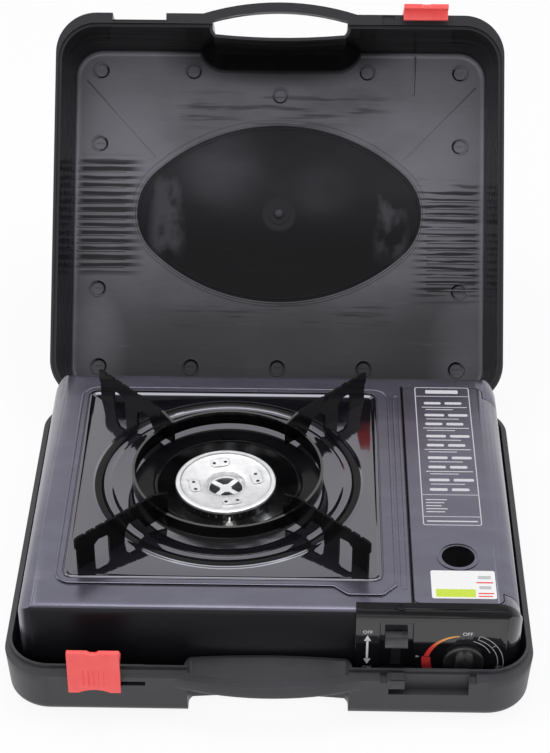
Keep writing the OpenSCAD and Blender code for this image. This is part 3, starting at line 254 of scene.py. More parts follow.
def enamel(name, look):
    f = Finish(name)
    p = f.place()
    peel = f.noise(p, look["peelScale"], 2.0, 0.5)
    wave = f.noise(p, 24.0, 2.0, 0.5)
    dust = f.noise(p, 900.0, 2.0, 0.6).step(0.72, 0.80)
    smear = f.noise(f.stretch(p, (1.0, 3.0, 2.0)), 18.0, 4.0, 0.65)
    tone = f.blend(smear.step(0.35, 0.75), look["dark"], look["light"])
    tone = f.blend(dust * look["dust"], tone, dustColour)
    coat = look["coat"]
    metal = 0.0
    rough = look["rough"] + (smear - 0.5) * look["smear"]
    x, y, _ = f.parts(p)
    _, facingBack, facingUp = f.parts(f.facing())
    # painted shade: the front wall gets the near-black front colour, a shaded copy of this finish, and loses its
    # coat and metal
    if "front" in look:  # the front wall is duller than the top and the shoulders
        front = (0.0 - facingBack).step(*look["frontTurn"])
        # painted shade: a narrow dark band along the seam of the canister cover, on the body and on the cover
        seam = x.near(*look["seamAcross"]) * y.near(*look["seamAlong"])
        dull = front.atLeast(seam)
        coat = (1.0 - dull) * look["coat"]
        metal = (1.0 - dull) * look["metal"]
        tone = f.blend(dull, tone, look["front"])
        rough = rough + front * look["frontRough"]
    if "dullTurn" in look:  # less gloss on what faces up
        coat = facingUp.step(*look["dullTurn"]) * look["coat"]
    if "shineRadius" in look:  # the ring of the support is polished on top
        ring = (x - look["x"]).across(y - look["y"]).step(look["shineRadius"] + 0.001, look["shineRadius"])
        coat = ring * facingUp.step(*look["shineTurn"]) * look["shine"] + look["coat"]
    return f.surface({
        "Base Color": tone,
        "Metallic": metal,
        "Roughness": rough,
        "IOR": look.get("ior", 1.5),
        "Coat Weight": coat,
        "Coat Roughness": look["coatRough"],
        "Coat IOR": look.get("coatIor", 1.5),
        "Specular Tint": look.get("tint", (1.0, 1.0, 1.0)),
        "Normal": f.bump(peel, look["peelDepth"], f.bump(wave, look["waveDepth"])),
    })


# the panel of the lid is dull and greyish; the dark inside of its walls and its dark stripes are painted shade,
# its sunk oval is painted dark with painted reflections; along runs up the open lid from its hinge, deep runs into
# it
def lidPlastic(name, look):
    f = Finish(name)
    p = f.place()
    x, y, z = f.parts(p)
    along = (y - lidHinge.y) * math.sin(lidLean) + (z - lidHinge.z) * math.cos(lidLean)
    deep = (y - lidHinge.y) * math.cos(lidLean) - (z - lidHinge.z) * math.sin(lidLean)
    aside = x.size()
    flat = deep.step(*look["panelDepth"])
    cloud = f.noise(f.stretch(p, (1.0, 1.6, 1.6)), look["cloudScale"], 4.0, 0.55)
    grain = f.noise(p, look["grainScale"], 2.0, 0.6)
    folds = f.noise(f.stretch(p, look["flow"]), 34.0, 3.0, 0.6)
    scuff = f.scuffs(p)

    # sunk oval from two long arcs and two round ends
    oval = look["oval"]
    up = (along - oval["middle"]).size()
    sides = x.across(up + oval["drop"]).inside(oval["sideR"], oval["soft"]) * aside.step(*oval["sideEnd"])
    ends = (aside - oval["endX"]).across(up).inside(oval["endR"], oval["soft"])
    dish = sides.atLeast(ends)

    # painted shade: dark stripes at both sides as the shadows of the raised lines, in step with them, and a few
    # above and below the oval as the shade of wrinkles
    streak = f.noise(f.join(x * 17.0, along * 210.0, deep * 40.0), 1.0, 2.5, 0.55)
    marks = 0.0
    for side in look["streaks"]:
        zone = (x * side["side"]).step(*side["edge"]) * along.near(*side["height"])
        ribShadowStripes = ((along - side["rib"]) * (2 * math.pi / side["pitch"])).sine() + (streak - 0.5) * side["wander"]
        marks = ribShadowStripes.step(*side["cut"]) * zone + marks
    above, below = look["looseStreaks"]
    loose = along.near(*above).atLeast(along.near(*below)) * aside.step(*look["looseEnd"]) * look["looseShare"]
    marks = (marks * aside.step(*look["streakEnd"]) + streak.step(0.50, 0.66) * loose).atMost(1.0)

    # painted shade makes the lower middle and the hollow under the handle darker, and a painted sheen makes the
    # corners paler
    bayX, bayY = x / look["bayHalf"][0], (along - look["bayMiddle"]) / look["bayHalf"][1]
    bayShadow = (bayX ** 2.0 + bayY ** 2.0).step(*look["bayEdge"])
    unshaded = along.step(*look["paleHeight"]).atLeast(aside.step(*look["paleAside"]))
    corners = aside.step(*look["cornerAside"]) * along.step(*look["cornerHeight"]) * look["cornerShare"]
    tone = f.blend(cloud.step(0.25, 0.75), look["panelDark"], look["panelLight"])
    tone = f.blend(corners, tone, look["corner"])
    tone = f.blend(unshaded, look["panelLow"], tone)
    tone = f.blend(scuff * look["scuff"], tone, look["scuffColour"])
    tone = f.blend(bayShadow, look["panelLow"], tone)
    tone = f.blend(marks * look["streakShare"], tone, look["dark"])
    # painted shade: off the panel, the walls of the lid are near black
    tone = f.blend(flat, look["dark"], tone)

    # the sunk oval is painted dark as a dark reflection, with painted reflections: glints at its ends, a pale disc
    # with a bright point in its middle, and a soft glow over its upper half
    glint = f.noise(f.stretch(p, (1.0, 0.7, 0.7)), 30.0, 3.0, 0.6).step(0.42, 0.6)
    glint = glint * aside.near(*look["glintAside"]) * up.step(*look["glintHeight"])
    hub = x.across(up)
    glint = glint.atLeast(hub.inside(*look["hub"]) * look["hubShare"]).atLeast(hub.inside(*look["pip"]))
    hazeReflection = along.step(*look["hazeHeight"]) * look["hazeShare"]
    for spotX, height, reach, share in look["hazeSpots"]:
        hazeReflection = hazeReflection + (x - spotX).across(along - height).step(reach, look["hazeCore"]) * share
    glint = glint.atLeast(hazeReflection * cloud.step(0.25, 0.70, 0.65, 1.15))
    tone = f.blend(dish, tone, f.blend(glint, look["dishDark"], look["dishLight"]))

    # the outside and the rim are paler than the inside of the walls, whose dark is painted shade
    fromCore = f.add("ShaderNodeVectorMath", {"operation": "SUBTRACT"}, {0: p, 1: look["core"]})[0]
    outward = f.add("ShaderNodeVectorMath", {"operation": "DOT_PRODUCT"}, {0: f.facing(), 1: fromCore})["Value"]
    outer = outward.step(*look["outerTurn"])
    dull = flat * (1.0 - dish) * (1.0 - outer)
    panelCoat = dull * (1.0 - marks * 0.8) * (unshaded * bayShadow * 0.7 + 0.3) * look["coat"]
    return f.surface({
        "Base Color": f.blend(outer, tone, look["outer"]),
        "Roughness": look["rough"] + (dull + outer) * look["panelRough"] + (cloud - 0.5) * 0.12 + scuff * 0.06,
        "IOR": look["ior"],
        "Coat Weight": panelCoat + outer * look["outerCoat"],
        "Coat Roughness": look["coatRough"],
        "Normal": f.bump(grain, look["grainDepth"], f.bump(folds, look["flowDepth"])),
    })


def bareMetal(name, look):
    f = Finish(name)
    p = f.place()
    brush = f.noise(f.stretch(p, look["brush"]), 90.0, 4.0, 0.7)
    cloud = f.noise(p, 45.0, 4.0, 0.6)
    spots = f.noise(p, 380.0, 3.0, 0.6).step(0.62, 0.75)
    tone = f.blend(cloud.step(0.3, 0.7), look["dark"], look["light"])
    tone = f.blend(spots * look["spots"], tone, look["spotColour"])
    return f.surface({
        "Base Color": tone,
        "Metallic": 1.0,
        "Roughness": look["rough"] + (brush - 0.5) * 0.25 + spots * 0.10,
        "Normal": f.bump(brush, look["depth"]),
    })


def spangledSheet(name, look):
    f = Finish(name)
    p = f.place()
    cells = f.add("ShaderNodeTexVoronoi", {"feature": "F1"}, {"Vector": p, "Scale": look["spangle"]})
    flake = f.parts(cells["Color"])[0]
    cloud = f.noise(p, 60.0, 4.0, 0.6)
    tone = f.blend(flake, look["dark"], look["light"])
    return f.surface({
        "Base Color": tone,
        "Metallic": 0.9,
        "Roughness": look["rough"] + flake * 0.12 + (cloud - 0.5) * 0.15,
        "Normal": f.bump(cloud, 0.00005),
    })


def turnedAlloy(name, look):
    f = Finish(name)
    p = f.place()
    x, y, z = f.parts(p)
    away = (x - look["x"]).across(y - look["y"])
    rings = (away * look["pitch"]).sine()
    spread = f.noise(p, 160.0, 4.0, 0.6)
    soot = f.noise(p, 420.0, 3.0, 0.6).step(0.62, 0.78)
    tone = f.blend(spread.step(0.3, 0.75), look["dark"], look["light"])
    tone = f.blend(soot * look["soot"], tone, look["sootColour"])
    # painted shade: ambient occlusion darkens the corners and the sides of the lances, and a dark ring stands for
    # the shade in the cut inside the rim
    corner = f.add("ShaderNodeAmbientOcclusion", {"samples": 8}, {"Distance": look["cornerReach"]})["AO"]
    tone = f.blend(corner.step(0.45, 0.92), look["cornerColour"], tone)
    tone = f.blend(away.near(*look["groove"]) * 0.6, tone, look["cornerColour"])
    skirt = away.step(*look["skirtFrom"]) * z.step(*look["skirtTop"])
    return f.surface({
        "Base Color": f.blend(skirt, tone, look["skirtColour"]),
        "Metallic": look["metal"],
        "Roughness": look["rough"] + (spread - 0.5) * 0.2 + rings * 0.03,
        "Normal": f.bump(rings + spread * 0.8, look["depth"]),
    })


def printedInk(name, look):
    f = Finish(name)
    p = f.place()
    mottle = f.noise(p, 700.0, 3.0, 0.6)
    return f.surface({
        "Base Color": f.blend(mottle.step(0.25, 0.8), look["dark"], look["light"]),
        "Roughness": look["rough"] + (mottle - 0.5) * 0.1,
        "Normal": f.bump(mottle, 0.00001),
    })


def blendedInk(name, look):
    f = Finish(name)
    p = f.place()
    x, _, z = f.parts(p)
    mottle = f.noise(p, 700.0, 3.0, 0.6)
    share = (z * look["slopeZ"] + x * look["slopeX"] + look["start"] + (mottle - 0.5) * 0.06).step(0.0, 1.0)
    return f.surface({
        "Base Color": f.blend(share, look["low"], look["high"]),
        "Roughness": look["rough"] + (mottle - 0.5) * 0.1,
        "Normal": f.bump(mottle, 0.00001),
    })


smallMoulding = {
    "cloudScale": 90.0, "grainScale": 1600.0, "grainDepth": 0.00003, "flow": (2.0, 2.0, 2.0), "flowDepth": 0.00003,
}
# places and reaches on the open lid are in metres; two numbers are the ends of a soft step, four add its values,
# and three are a place, where its mark is full and where it ends; hub and pip have a radius and a softness
# in this finish dark is painted shade for the walls and the stripes, corner is a painted sheen on the panel, and
# the dish colours are painted reflections
lidLook = {
    "dark": (0.004, 0.004, 0.004), "panelDark": (0.066, 0.064, 0.076), "panelLight": (0.130, 0.127, 0.148),
    "panelLow": (0.014, 0.014, 0.016), "dishDark": (0.010, 0.010, 0.011), "dishLight": (0.060, 0.059, 0.067),
    "outer": (0.022, 0.022, 0.026), "corner": (0.200, 0.196, 0.224), "scuff": 0.14,
    "scuffColour": (0.20, 0.20, 0.22), "cloudScale": 13.0, "grainScale": 900.0, "grainDepth": 0.00004,
    "flow": (0.25, 4.0, 4.0), "flowDepth": 0.0006, "rough": 0.16, "panelRough": 0.24, "ior": 1.16, "coat": 0.9,
    "outerCoat": 0.35, "coatRough": 0.38, "panelDepth": (0.0672, 0.0716),
    "core": tuple(lidOpen @ Vector((0.0, lidHinge.y - 0.171, 0.071))),
    "oval": {
        "middle": 0.171, "drop": 0.0830, "sideR": 0.1606, "sideEnd": (0.1100, 0.1080), "endX": 0.0758,
        "endR": 0.0482, "soft": 0.0006,
    },
    "streaks": [
        {"side": -1.0, "edge": (0.114, 0.134), "height": (0.168, 0.046, 0.056), "rib": 0.123, "pitch": 0.007,
         "wander": 3.2, "cut": (-0.35, 0.25)},
        {"side": 1.0, "edge": (0.112, 0.130), "height": (0.148, 0.040, 0.062), "rib": 0.105, "pitch": 0.006,
         "wander": 7.0, "cut": (0.2, 0.8)},
    ],
    "streakEnd": (0.178, 0.170), "looseStreaks": [(0.262, 0.008, 0.020), (0.082, 0.006, 0.014)],
    "looseEnd": (0.110, 0.070), "looseShare": 0.6, "streakShare": 0.85,
    "bayHalf": (0.105, 0.050), "bayMiddle": 0.338, "bayEdge": (0.55, 1.5),
    "paleHeight": (0.060, 0.150, 0.20, 1.0), "paleAside": (0.110, 0.165, 0.0, 0.75),
    "cornerAside": (0.060, 0.150), "cornerHeight": (0.110, 0.260), "cornerShare": 0.5,
    "glintAside": (0.098, 0.006, 0.020), "glintHeight": (0.048, 0.020), "hub": (0.015, 0.002), "hubShare": 0.35,
    "pip": (0.004, 0.0005), "hazeHeight": (0.140, 0.205), "hazeShare": 0.32, "hazeCore": 0.008,
    "outerTurn": (0.002, 0.020),
    "hazeSpots": [(-0.050, 0.212, 0.048, 0.60), (0.040, 0.190, 0.036, 0.24)],
}
finishes = {
    "case": mouldedPlastic("case_plastic", {
        "dark": (0.020, 0.020, 0.024), "light": (0.030, 0.030, 0.036), "cloudScale": 22.0,
        "grainScale": 1500.0, "grainDepth": 0.00006, "flow": (0.5, 6.0, 3.0), "flowDepth": 0.00010,
        "scuff": 0.10, "scuffColour": (0.16, 0.16, 0.17), "rough": 0.46, "coat": 0.15, "coatRough": 0.35,
    }),
    "lid": lidPlastic("lid_plastic", lidLook),
    "latch": mouldedPlastic("latch_plastic", {
        "dark": (0.94, 0.085, 0.080), "light": (1.0, 0.115, 0.105), "cloudScale": 60.0,
        "grainScale": 1200.0, "grainDepth": 0.00003, "flow": (2.0, 2.0, 2.0), "flowDepth": 0.00005,
        "scuff": 0.05, "scuffColour": (0.9, 0.35, 0.3), "rough": 0.30, "coat": 0.3, "coatRough": 0.2,
    }),
    "knob": mouldedPlastic("knob_plastic", {
        **smallMoulding, "dark": (0.010, 0.010, 0.011), "light": (0.022, 0.022, 0.024),
        "scuff": 0.2, "scuffColour": (0.2, 0.2, 0.2), "rough": 0.38, "coat": 0.1, "coatRough": 0.3,
    }),
    "lever": mouldedPlastic("lever_plastic", {
        **smallMoulding, "dark": (0.040, 0.040, 0.043), "light": (0.070, 0.070, 0.075),
        "scuff": 0.2, "scuffColour": (0.3, 0.3, 0.3), "rough": 0.42, "coat": 0.1, "coatRough": 0.3,
    }),
    "lead": mouldedPlastic("lead_sleeve", {
        **smallMoulding, "dark": (0.50, 0.05, 0.03), "light": (0.62, 0.08, 0.05),
        "scuff": 0.1, "scuffColour": (0.3, 0.2, 0.2), "rough": 0.5, "coat": 0.0, "coatRough": 0.3,
    }),
    "rubber": mouldedPlastic("foot_rubber", {
        **smallMoulding, "dark": (0.012, 0.012, 0.012), "light": (0.025, 0.025, 0.025), "cloudScale": 120.0,
        "grainScale": 1400.0, "grainDepth": 0.00008, "scuff": 0.3, "scuffColour": (0.1, 0.1, 0.1),
        "rough": 0.75, "coat": 0.0, "coatRough": 0.5,
    }),
    # front is painted shade, a near-black copy of the enamel for the front wall of the stove
    "body": enamel("black_enamel", {
        "dark": (0.128, 0.124, 0.163), "light": (0.152, 0.147, 0.192), "front": (0.007, 0.007, 0.009),
        "peelScale": 520.0, "peelDepth": 0.00003, "waveDepth": 0.0004, "dust": 0.10, "rough": 0.26,
        "smear": 0.08, "metal": 0.75, "coat": 0.3, "frontRough": 0.14, "coatRough": 0.16, "ior": 1.25,
        "frontTurn": (0.45, 0.75), "seamAcross": (0.1018, 0.0009, 0.0016), "seamAlong": (0.0, 0.134, 0.136),
    }),
    "pan": enamel("pan_enamel", {
        "dark": (0.006, 0.006, 0.008), "light": (0.010, 0.010, 0.013), "peelScale": 260.0,
        "peelDepth": 0.00001, "waveDepth": 0.0004, "dust": 0.10, "rough": 0.07, "smear": 0.04,
        "coat": 0.7, "coatRough": 0.05, "ior": 2.05, "tint": (0.86, 0.86, 1.0),
    }),
    "panDark": enamel("pan_shade", {
        "dark": (0.004, 0.004, 0.005), "light": (0.007, 0.007, 0.008), "peelScale": 260.0,
        "peelDepth": 0.00001, "waveDepth": 0.0004, "dust": 0.10, "rough": 0.16, "smear": 0.06,
        "coat": 0.05, "coatRough": 0.10, "ior": 1.22,
    }),
    "support": enamel("support_enamel", {
        "dark": (0.002, 0.002, 0.002), "light": (0.004, 0.004, 0.004), "peelScale": 420.0,
        "peelDepth": 0.00003, "waveDepth": 0.0002, "dust": 0.06, "rough": 0.26, "smear": 0.10,
        "coat": 0.05, "coatRough": 0.06, "coatIor": 1.8, "ior": 1.12, "x": -0.0336, "y": 0.0086,
        "shineRadius": 0.0735, "shineTurn": (0.15, 0.7), "shine": 0.9,
    }),
    "panel": enamel("panel_plastic", {
        "dark": (0.006, 0.006, 0.007), "light": (0.010, 0.010, 0.012), "peelScale": 700.0,
        "peelDepth": 0.00001, "waveDepth": 0.0002, "dust": 0.15, "rough": 0.16, "smear": 0.06,
        "coat": 0.9, "coatRough": 0.05, "coatIor": 1.65, "ior": 1.2, "dullTurn": (0.60, 0.25),
    }),
    "ceramic": enamel("white_ceramic", {
        "dark": (0.78, 0.77, 0.74), "light": (0.88, 0.87, 0.84), "peelScale": 900.0, "peelDepth": 0.00002,
        "waveDepth": 0.00005, "dust": 0.2, "rough": 0.25, "smear": 0.1, "coat": 0.5, "coatRough": 0.1,
    }),
    "zinc": spangledSheet("zinc_sheet", {
        "dark": (0.46, 0.47, 0.49), "light": (0.64, 0.65, 0.67), "spangle": 90.0, "rough": 0.34,
    }),
    "burner": turnedAlloy("burner_alloy", {
        "x": -0.0353, "y": 0.0084, "pitch": 9000.0, "dark": (0.82, 0.82, 0.83), "light": (0.93, 0.93, 0.94),
        "soot": 0.25, "sootColour": (0.42, 0.41, 0.40), "skirtFrom": (0.0370, 0.0376), "skirtTop": (0.0760, 0.0754),
        "skirtColour": (0.07, 0.07, 0.07), "cornerReach": 0.004, "cornerColour": (0.30, 0.30, 0.31),
        "groove": (0.0344, 0.0003, 0.0007), "metal": 0.75, "rough": 0.34, "depth": 0.00002,
    }),
    "cast": bareMetal("cast_alloy", {
        "dark": (0.42, 0.43, 0.44), "light": (0.60, 0.61, 0.62), "brush": (1.0, 1.0, 1.0), "spots": 0.3,
        "spotColour": (0.3, 0.3, 0.3), "rough": 0.42, "depth": 0.00008,
    }),
    "steel": bareMetal("hinge_steel", {
        "dark": (0.52, 0.52, 0.53), "light": (0.70, 0.70, 0.71), "brush": (0.2, 6.0, 6.0), "spots": 0.1,
        "spotColour": (0.4, 0.36, 0.3), "rough": 0.28, "depth": 0.00002,
    }),
    "brass": bareMetal("brass_fittings", {
        "dark": (0.62, 0.44, 0.18), "light": (0.80, 0.62, 0.30), "brush": (1.0, 1.0, 8.0), "spots": 0.2,
        "spotColour": (0.4, 0.3, 0.16), "rough": 0.25, "depth": 0.00002,
    }),
    "heatInk": blendedInk("heat_ink", {
        "low": (0.80, 0.05, 0.04), "high": (0.90, 0.42, 0.10), "slopeX": 40.0, "slopeZ": 40.0, "start": -6.4,
        "rough": 0.35,
    }),
}
inkLooks = {
    "whiteInk": ("white_ink", {"dark": (0.72, 0.72, 0.73), "light": (0.86, 0.86, 0.87), "rough": 0.45}),
    "labelInk": ("label_ink", {"dark": (0.52, 0.52, 0.55), "light": (0.66, 0.66, 0.69), "rough": 0.45}),
    "greyInk": ("grey_ink", {"dark": (0.42, 0.42, 0.43), "light": (0.56, 0.56, 0.57), "rough": 0.45}),
    "redInk": ("red_ink", {"dark": (0.66, 0.03, 0.04), "light": (0.82, 0.06, 0.06), "rough": 0.4}),
    "limeInk": ("lime_ink", {"dark": (0.48, 0.62, 0.03), "light": (0.60, 0.74, 0.06), "rough": 0.4}),
    "paper": ("sticker_paper", {"dark": (0.78, 0.78, 0.77), "light": (0.86, 0.86, 0.85), "rough": 0.5}),
}
for key, (name, look) in inkLooks.items():
    finishes[key] = printedInk(name, look)
nodeFinish = {
    "case_base": "case", "case_lid": "lid", "case_hinge_pins": "steel", "base_latch": "latch",
    "lid_latch": "latch", "body_shell": "body", "bottom_plate": "zinc", "stove_feet": "rubber",
    "partition_plate": "zinc", "canister_cover": "body", "cover_hinge_pins": "steel",
    "control_panel": "panel", "panel_screw": "panel", "control_knob": "knob", "valve_spindle": "brass",
    "regulator_body": "cast", "canister_socket": "brass", "injector": "brass", "mixing_tube": "zinc",
    "air_shutter": "zinc", "burner_bowl": "cast", "burner_head": "burner", "burner_bracket": "zinc",
    "electrode": "ceramic", "piezo_igniter": "lever", "igniter_lead": "lead", "lock_lever": "lever",
    "canister_carriage": "zinc", "carriage_guides": "zinc", "drip_pan": "pan", "pan_support": "support",
}
# small rounding on the edges of the nodes that show, in mm
nodeEdges = {
    "case_base": 0.5, "base_latch": 0.5, "lid_latch": 0.5, "body_shell": 0.45,
    "canister_cover": 0.35, "control_panel": 0.5, "control_knob": 0.5, "burner_head": 0.3,
    "lock_lever": 0.4, "pan_support": 0.35, "drip_pan": 0.3,
}
for name, node in nodes.items():
    node.data.materials.clear()
    node.data.materials.append(finishes[nodeFinish[name]])
    if name in nodeEdges:
        weld = node.modifiers.new("weld", "WELD")
        weld.merge_threshold = 0.000002
        edge = node.modifiers.new("edge", "BEVEL")
        edge.width = nodeEdges[name] * mm
        edge.segments = 2
        edge.limit_method = "ANGLE"
        edge.angle_limit = math.radians(35)
        edge.harden_normals = True
        edge.use_clamp_overlap = True
print("finishes made")


# mesh tools; lengths are in mm here and in metres in Blender
def makePiece(name, points, faces, finish, body, matrix=None, smooth=True):
    data = bpy.data.meshes.new(name)
    data.from_pydata([tuple(c * mm for c in p) for p in points], [], faces)
    piece = addObject(name, data)
    if matrix is not None:
        data.transform(matrix)
    work = bmesh.new()
    work.from_mesh(data)
    bmesh.ops.remove_doubles(work, verts=work.verts, dist=0.000001)
    bmesh.ops.recalc_face_normals(work, faces=work.faces)
    for face in work.faces:
        face.smooth = smooth
    work.to_mesh(data)
    work.free()
    data.materials.append(finishes[finish])
    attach(piece, body)
    return piece


# closed loops of points joined row by row, the last row to the first
def ringFaces(rows, count):
    faces = []
    for i in range(rows):
        for j in range(count):
            after = (j + 1) % count
            under = (i + 1) % rows
            faces.append((i * count + j, i * count + after, under * count + after, under * count + j))
    return faces


def filletPath(corners, steps=8):
    path = []
    for i, (x, y, radius) in enumerate(corners):
        here = Vector((x, y))
        before = (Vector(corners[i - 1][:2]) - here).normalized()
        after = (Vector(corners[(i + 1) % len(corners)][:2]) - here).normalized()
        half = before.angle(after) / 2
        reach = radius / math.tan(half)
        centre = here + (before + after).normalized() * radius / math.sin(half)
        start = here + before * reach - centre
        turn = start.angle_signed(here + after * reach - centre)
        for k in range(steps + 1):
            arm = start.copy()
            arm.rotate(Matrix.Rotation(-turn * k / steps, 2))
            path.append(tuple(centre + arm))
    return path


def offsetPath(path, out):
    moved = []
    for i, point in enumerate(path):
        before = Vector(path[i - 1])
        after = Vector(path[(i + 1) % len(path)])
        along = (after - before).normalized()
        moved.append((point[0] + along.y * out, point[1] - along.x * out))
    return moved


# bead along a closed path; the profile holds distances outwards and heights
def beadPiece(name, path, z, profile, finish, body, matrix=None):
    points = []
    for out, height in profile:
        points += [(x, y, z + height) for x, y in offsetPath(path, out)]
    return makePiece(name, points, ringFaces(len(profile), len(path)), finish, body, matrix)


def halfRound(radius, height, sink=0.3, steps=8):
    arc = [math.pi * k / steps for k in range(steps + 1)]
    return [(radius * math.cos(a), height * math.sin(a)) for a in arc] + [(-radius, -sink), (radius, -sink)]


# thin plate of ink or paper; corners run round the outline and lift turns them into 3-D points
def flatPiece(name, outlines, lift, thick, finish, body):
    points, faces = [], []
    for outline in outlines:
        count = len(outline)
        start = len(points)
        points += [lift(a, b, 0.0) for a, b in outline] + [lift(a, b, thick) for a, b in outline]
        faces.append(tuple(range(start, start + count)))
        faces.append(tuple(range(start + count, start + 2 * count)))
        for j in range(count):
            after = (j + 1) % count
            faces.append((start + j, start + after, start + count + after, start + count + j))
    return makePiece(name, points, faces, finish, body, smooth=False)


def bar(left, right, low, high, radius=0.2):
    radius = min(radius, (right - left) * 0.45, (high - low) * 0.45)
    return filletPath([(left, low, radius), (right, low, radius), (right, high, radius), (left, high, radius)], 3)


# a band cut into short outlines, so that each face stays flat and convex
def arcPieces(centre, inner, outer, start, end, steps=24):
    def corner(radii, share):
        turn = math.radians(start + (end - start) * share)
        reach = radii[0] + (radii[1] - radii[0]) * share
        return (centre[0] + reach * math.cos(turn), centre[1] + reach * math.sin(turn))

    cuts = [k / steps for k in range(steps + 1)]
    return [
        [corner(outer, low), corner(outer, high), corner(inner, high), corner(inner, low)]
        for low, high in zip(cuts, cuts[1:])
    ]


def wordPiece(name, text, size, place, turn, thick, finish, body):
    curve = bpy.data.curves.new(name, "FONT")
    curve.body = text
    curve.size = size * mm
    curve.extrude = thick * mm
    curve.align_x = "CENTER"
    curve.align_y = "CENTER"
    shape = addObject(name + "_shape", curve)
    bpy.context.view_layer.update()
    data = bpy.data.meshes.new_from_object(shape)
    bpy.data.objects.remove(shape)
    data.transform(Matrix.Translation([c * mm for c in place]) @ turn)
    piece = addObject(name, data)
    data.materials.clear()
    data.materials.append(finishes[finish])
    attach(piece, body)
    return piece


def boxOf(name):
    low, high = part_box(name)
    return [c / mm for c in low], [c / mm for c in high]


# puts a flat outline on a level face
def lyingAt(height):
    def lift(a, b, out):
        return (a, b, height + out)
    return lift


# drip pan: a rolled hem on a rounded square that runs into a ring and a dish
panLow, panHigh = boxOf("drip_pan")
panX = (panLow[0] + panHigh[0]) / 2
panY = (panLow[1] + panHigh[1]) / 2
panLook = {
    "halfW": (panHigh[0] - panLow[0]) / 2,
    "halfD": (panHigh[1] - panLow[1]) / 2,
    "flat": panHigh[2] - 1.4,
    "corner": 7.0,
    "leastCorner": 1.5,
    "turns": 240,
    "cornerTurns": 12,  # more points on both sides of each corner
    "fineTurn": math.radians(0.25),
    "fineShift": 0.37,
    "dull": [(94.8, 101.0), (10.0, 70.5)],
    "hem": [
        (3.0, -1.0), (1.0, -1.0), (0.3, -0.8), (0.0, -0.4), (0.15, 0.1), (0.6, 0.55), (1.3, 0.8), (2.0, 0.75),
        (2.7, 0.4), (3.3, -0.05), (4.0, -0.3), (5.0, -0.25), (6.2, 0.0),
    ],
    "dish": [
        (104.2, 0.0), (103.0, 0.05), (102.2, 0.3), (101.6, 0.8), (100.8, 1.2), (99.6, 1.4), (97.0, 1.4),
        (95.8, 1.2), (95.0, 0.8), (94.4, 0.2), (93.6, -0.2), (92.2, -0.4), (90.4, -0.4), (89.4, -0.2),
        (88.6, 0.0), (87.8, -0.1), (87.0, -0.6), (84.0, -1.1), (78.0, -1.9), (70.0, -2.9), (64.0, -3.7),
        (62.0, -3.95), (60.0, -4.0), (57.5, -4.0), (56.0, -3.75), (55.0, -3.1), (54.3, -2.3), (53.8, -1.9),
        (53.3, -1.85), (53.1, -2.3), (53.4, -2.9), (54.6, -4.6), (57.0, -5.0), (61.0, -5.0), (90.0, -1.5),
        (104.0, -1.0),
    ],
}


def squareReach(angle, halfW, halfD, radius):
    c, s = abs(math.cos(angle)), abs(math.sin(angle))
    reach = min(halfW / max(c, 1e-9), halfD / max(s, 1e-9))
    innerW, innerD = halfW - radius, halfD - radius
    if reach * c > innerW and reach * s > innerD:
        middle = innerW * c + innerD * s
        reach = middle + math.sqrt(max(0.0, middle ** 2 - innerW ** 2 - innerD ** 2 + radius ** 2))
    return reach


cornerAngle = math.atan2(panLook["halfD"], panLook["halfW"])
panAngles = [2 * math.pi * k / panLook["turns"] for k in range(panLook["turns"])]
for base in (cornerAngle, math.pi - cornerAngle, math.pi + cornerAngle, 2 * math.pi - cornerAngle):
    for k in range(-panLook["cornerTurns"], panLook["cornerTurns"]):
        panAngles.append(base + panLook["fineTurn"] * (k + panLook["fineShift"]))
panAngles.sort()


def panRow(rise, reaches):
    height = panLook["flat"] + rise
    return [(panX + r * math.cos(a), panY + r * math.sin(a), height) for a, r in zip(panAngles, reaches)]


panPoints = []
for inset, rise in panLook["hem"]:
    corner = max(panLook["leastCorner"], panLook["corner"] - inset)
    halfW, halfD = panLook["halfW"] - inset, panLook["halfD"] - inset
    panPoints += panRow(rise, [squareReach(a, halfW, halfD, corner) for a in panAngles])
for radius, rise in panLook["dish"]:
    panPoints += panRow(rise, [radius] * len(panAngles))
panRows = len(panLook["hem"]) + len(panLook["dish"])
dripPan = makePiece("drip_pan_skin", panPoints, ringFaces(panRows, len(panAngles)), "pan", "drip_pan")
# the top of the ring and the dish get a darker, less glossy copy of the pan finish, painted shade for their dark
# reflection; the hem and the beads shine
dripPan.data.materials.append(finishes["panDark"])
for face in dripPan.data.polygons:
    away = math.hypot(face.center.x - panX * mm, face.center.y - panY * mm) / mm
    if any(low < away < high for low, high in panLook["dull"]):
        face.material_index = 1
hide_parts("drip_pan")
print("drip pan made")

